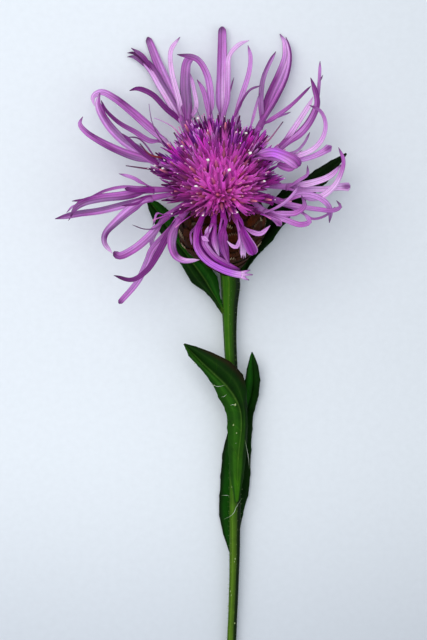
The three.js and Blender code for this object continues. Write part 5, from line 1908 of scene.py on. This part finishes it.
@dataclass
class Hairs:
    """Short stiff hairs on the stem, web-like threads, and pale crumbs caught on stem and leaf."""

    count: int = 420
    threads: Tuple[Tuple[Place, ...], ...] = (
        ((223.8, 519.8, 1.35), (233, 514, 3.2), (237, 506, 3.3), (241.8, 499, 2.6)),
        ((221.4, 495.8, 1.2), (225, 495.6, 1.5), (229.5, 496, 2.6)),
        ((245, 440, 4.3), (248, 455, 3.6), (249.4, 468.6, 1.4)),
        ((230.2, 405.5, 5.2), (233, 404.6, 5.6), (236, 405.5, 5.4)),
        ((211, 384, 5.9), (218, 386.5, 6.1), (225, 385, 6.0)),
        ((221, 397, 5.3), (224, 396.5, 5.6), (227, 394, 5.9)),
        ((229, 443, 3.4), (233, 444, 4.1), (237, 443, 4.5)),
    )
    # Where each crumb lies, and its size.
    crumbs: Tuple[Tuple[float, float, float, float], ...] = (
        (235.2, 404.7, 5.4, 0.28), (233.4, 425, 4.7, 0.2), (236.6, 433, 4.6, 0.16),
        (232, 487, 3.3, 0.16), (239.6, 489, 4.0, 0.14), (239.6, 494, 3.8, 0.14),
        (235.2, 559, 2.9, 0.2), (234.5, 562, 2.9, 0.13), (230.4, 591.7, 2.2, 0.16),
        (231.4, 595.4, 2.5, 0.13), (228.2, 606.6, 1.7, 0.16), (234.8, 623.6, 2.1, 0.16),
        (195, 363, 6.1, 0.16), (202, 365, 6.1, 0.18), (214, 385.5, 5.8, 0.15),
    )

    def draw_hair(self, sketch: Sketch, stem: Stem, path: Path, i: int) -> None:
        """Adds one short hair.

        Args:
            sketch: The piece that it joins.
            stem: The stem that it stands on.
            path: The stem's middle line.
            i: Its number.
        """
        share = np.array([0.02 + 0.96 * scatter(i, 1)])
        tangent = path.tangents(share)
        out = turned(*(way[0] for way in across(tangent)), 2 * math.pi * scatter(i, 2))
        foot = path.places(share)[0] + out * (float(stem.radius(path, share)[0]) - 0.06)
        reach = 0.22 + 0.25 * scatter(i, 3)
        tip = foot + out * reach + tangent[0] * 0.3 * (scatter(i, 4) - 0.2)
        rod(sketch, bowed(foot, tip), (0.022, 0.015, 0.006), (Tone.STEM_OLIVE, Tone.CRUMB),
            sides=4, steps=2)

    def build(self, stem: Stem, finish: Finish) -> None:
        """Makes the hairs, threads and crumbs.

        Args:
            stem: The stem that the short hairs stand on.
            finish: Their finish.
        """
        sketch, path = Sketch("stem_hairs"), stem.path()
        for i in range(self.count):
            self.draw_hair(sketch, stem, path, i)
        for n, places in enumerate(self.threads):
            rod(sketch, Path(PICTURE.points(places)), (0.02, 0.028, 0.02),
                (Tone.LEAF_RIM, Tone.WEB, Tone.LEAF_RIM), sides=6, steps=20, seed=n)
        for n, (px, py, height, size) in enumerate(self.crumbs):
            middle = PICTURE.at(px, py, height)
            half = unit(np.array([0.3, 1.0, 0.2 * n % 0.7])) * size
            rod(sketch, bowed(middle - half, middle + half),
                (0.02, size * 0.5, size * 0.55, size * 0.4, 0.02),
                (Tone.STEM_YELLOW, Tone.CRUMB, Tone.STEM_YELLOW), steps=6, seed=n)
        sketch.piece(finish, "stem_green")


# ---- camera, light and floor

@dataclass(frozen=True)
class Lamp:
    """A square area light: its place and side in metres, its power in watts, and its colour."""

    name: str
    place: Place
    size: float
    power: float
    colour: Place
    target: Place = (0.0, 0.02, 0.01)

    def hang(self) -> None:
        """Hangs the light so that it faces the flower head."""
        data = bpy.data.lights.new(self.name, "AREA")
        data.shape, data.size = "SQUARE", self.size
        data.energy, data.color = self.power, self.colour
        light = bpy.data.objects.new(self.name, data)
        light.location = self.place
        way = unit(np.array(self.target) - np.array(self.place))
        light.rotation_mode = "QUATERNION"
        light.rotation_quaternion = Vector(way.tolist()).to_track_quat("-Z", "Y")
        bpy.context.scene.collection.objects.link(light)


@dataclass
class Studio:
    """The camera straight above the flower, soft light, and the pale surface."""

    picture_height: float = 640.0
    centre: Pair = (213.5, 320.0)
    lens: float = 800.0
    sensor: float = 36.0
    focus_height: float = 5.0
    clip: Pair = (0.1, 50.0)
    lamps: Tuple[Lamp, ...] = (
        Lamp("key", (-0.25, 0.27, 0.76), 0.75, 4.15, (1.0, 0.985, 0.96)),
        Lamp("fill", (0.5, -0.3, 0.75), 0.8, 1.4, (0.93, 0.96, 1.0)),
    )
    room_colour: Tuple[float, ...] = (0.86, 0.92, 1.0, 1.0)
    room_light: float = 0.62
    floor_reach: float = 3.0

    def place_camera(self) -> None:
        """Looks straight down, the cut end of the stem at the bottom of the picture."""
        data = bpy.data.cameras.new("camera")
        data.lens, data.sensor_width = self.lens, self.sensor
        data.clip_start, data.clip_end = self.clip
        distance = self.picture_height * PICTURE.mm_per_px * self.lens / self.sensor
        camera = bpy.data.objects.new("camera", data)
        camera.location = PICTURE.at(*self.centre, self.focus_height + distance) * METRES
        bpy.context.scene.collection.objects.link(camera)
        bpy.context.scene.camera = camera

    def lay_floor(self, finish: Finish) -> None:
        """Lays the pale surface.

        Args:
            finish: Its finish.
        """
        mesh, reach = bpy.data.meshes.new("floor"), self.floor_reach
        corners = [(-reach, -reach, 0), (reach, -reach, 0), (reach, reach, 0), (-reach, reach, 0)]
        mesh.from_pydata(corners, [], [(0, 1, 2, 3)])
        mesh.materials.append(finish.material())
        floor = bpy.data.objects.new("floor", mesh)
        bpy.context.scene.collection.objects.link(floor)

    def build(self, finish: Finish) -> None:
        """Sets camera, lights, world and floor.

        Args:
            finish: The floor's finish.
        """
        self.place_camera()
        for lamp in self.lamps:
            lamp.hang()
        world = bpy.data.worlds.new("soft_room")
        world.use_nodes = True
        sockets = world.node_tree.nodes["Background"].inputs
        sockets[0].default_value, sockets[1].default_value = self.room_colour, self.room_light
        bpy.context.scene.world = world
        bpy.context.scene.view_settings.view_transform = "Standard"
        self.lay_floor(finish)
        log.info("studio: camera, %d lights, floor", len(self.lamps))


# ---- the flower


def main() -> None:
    """Builds the flower piece by piece."""
    logging.basicConfig(level=logging.INFO, format="%(message)s")
    petal, grain = PetalFinish(), GrainFinish()
    Studio().build(FloorFinish())
    for order, (name, (throat, lobes)) in enumerate(RAY_FLORETS.items()):
        RayFloret(name, order, throat, lobes).build(petal)
    DiscFlorets().build(PetalFinish("disc_petal", (0.34, 0.52), veins=5.0, vein_depth=0.15,
                                    mottle=0.25, glow=0.3), grain)
    Pollen().build(grain)
    LooseThreads().build(grain)
    Involucre().build(BractFinish())
    for leaf in LEAVES:
        leaf.build(LeafFinish())
    stem = Stem()
    stem.build(StemFinish())
    Hairs().build(stem, grain)


if __name__ == "__main__":
    main()
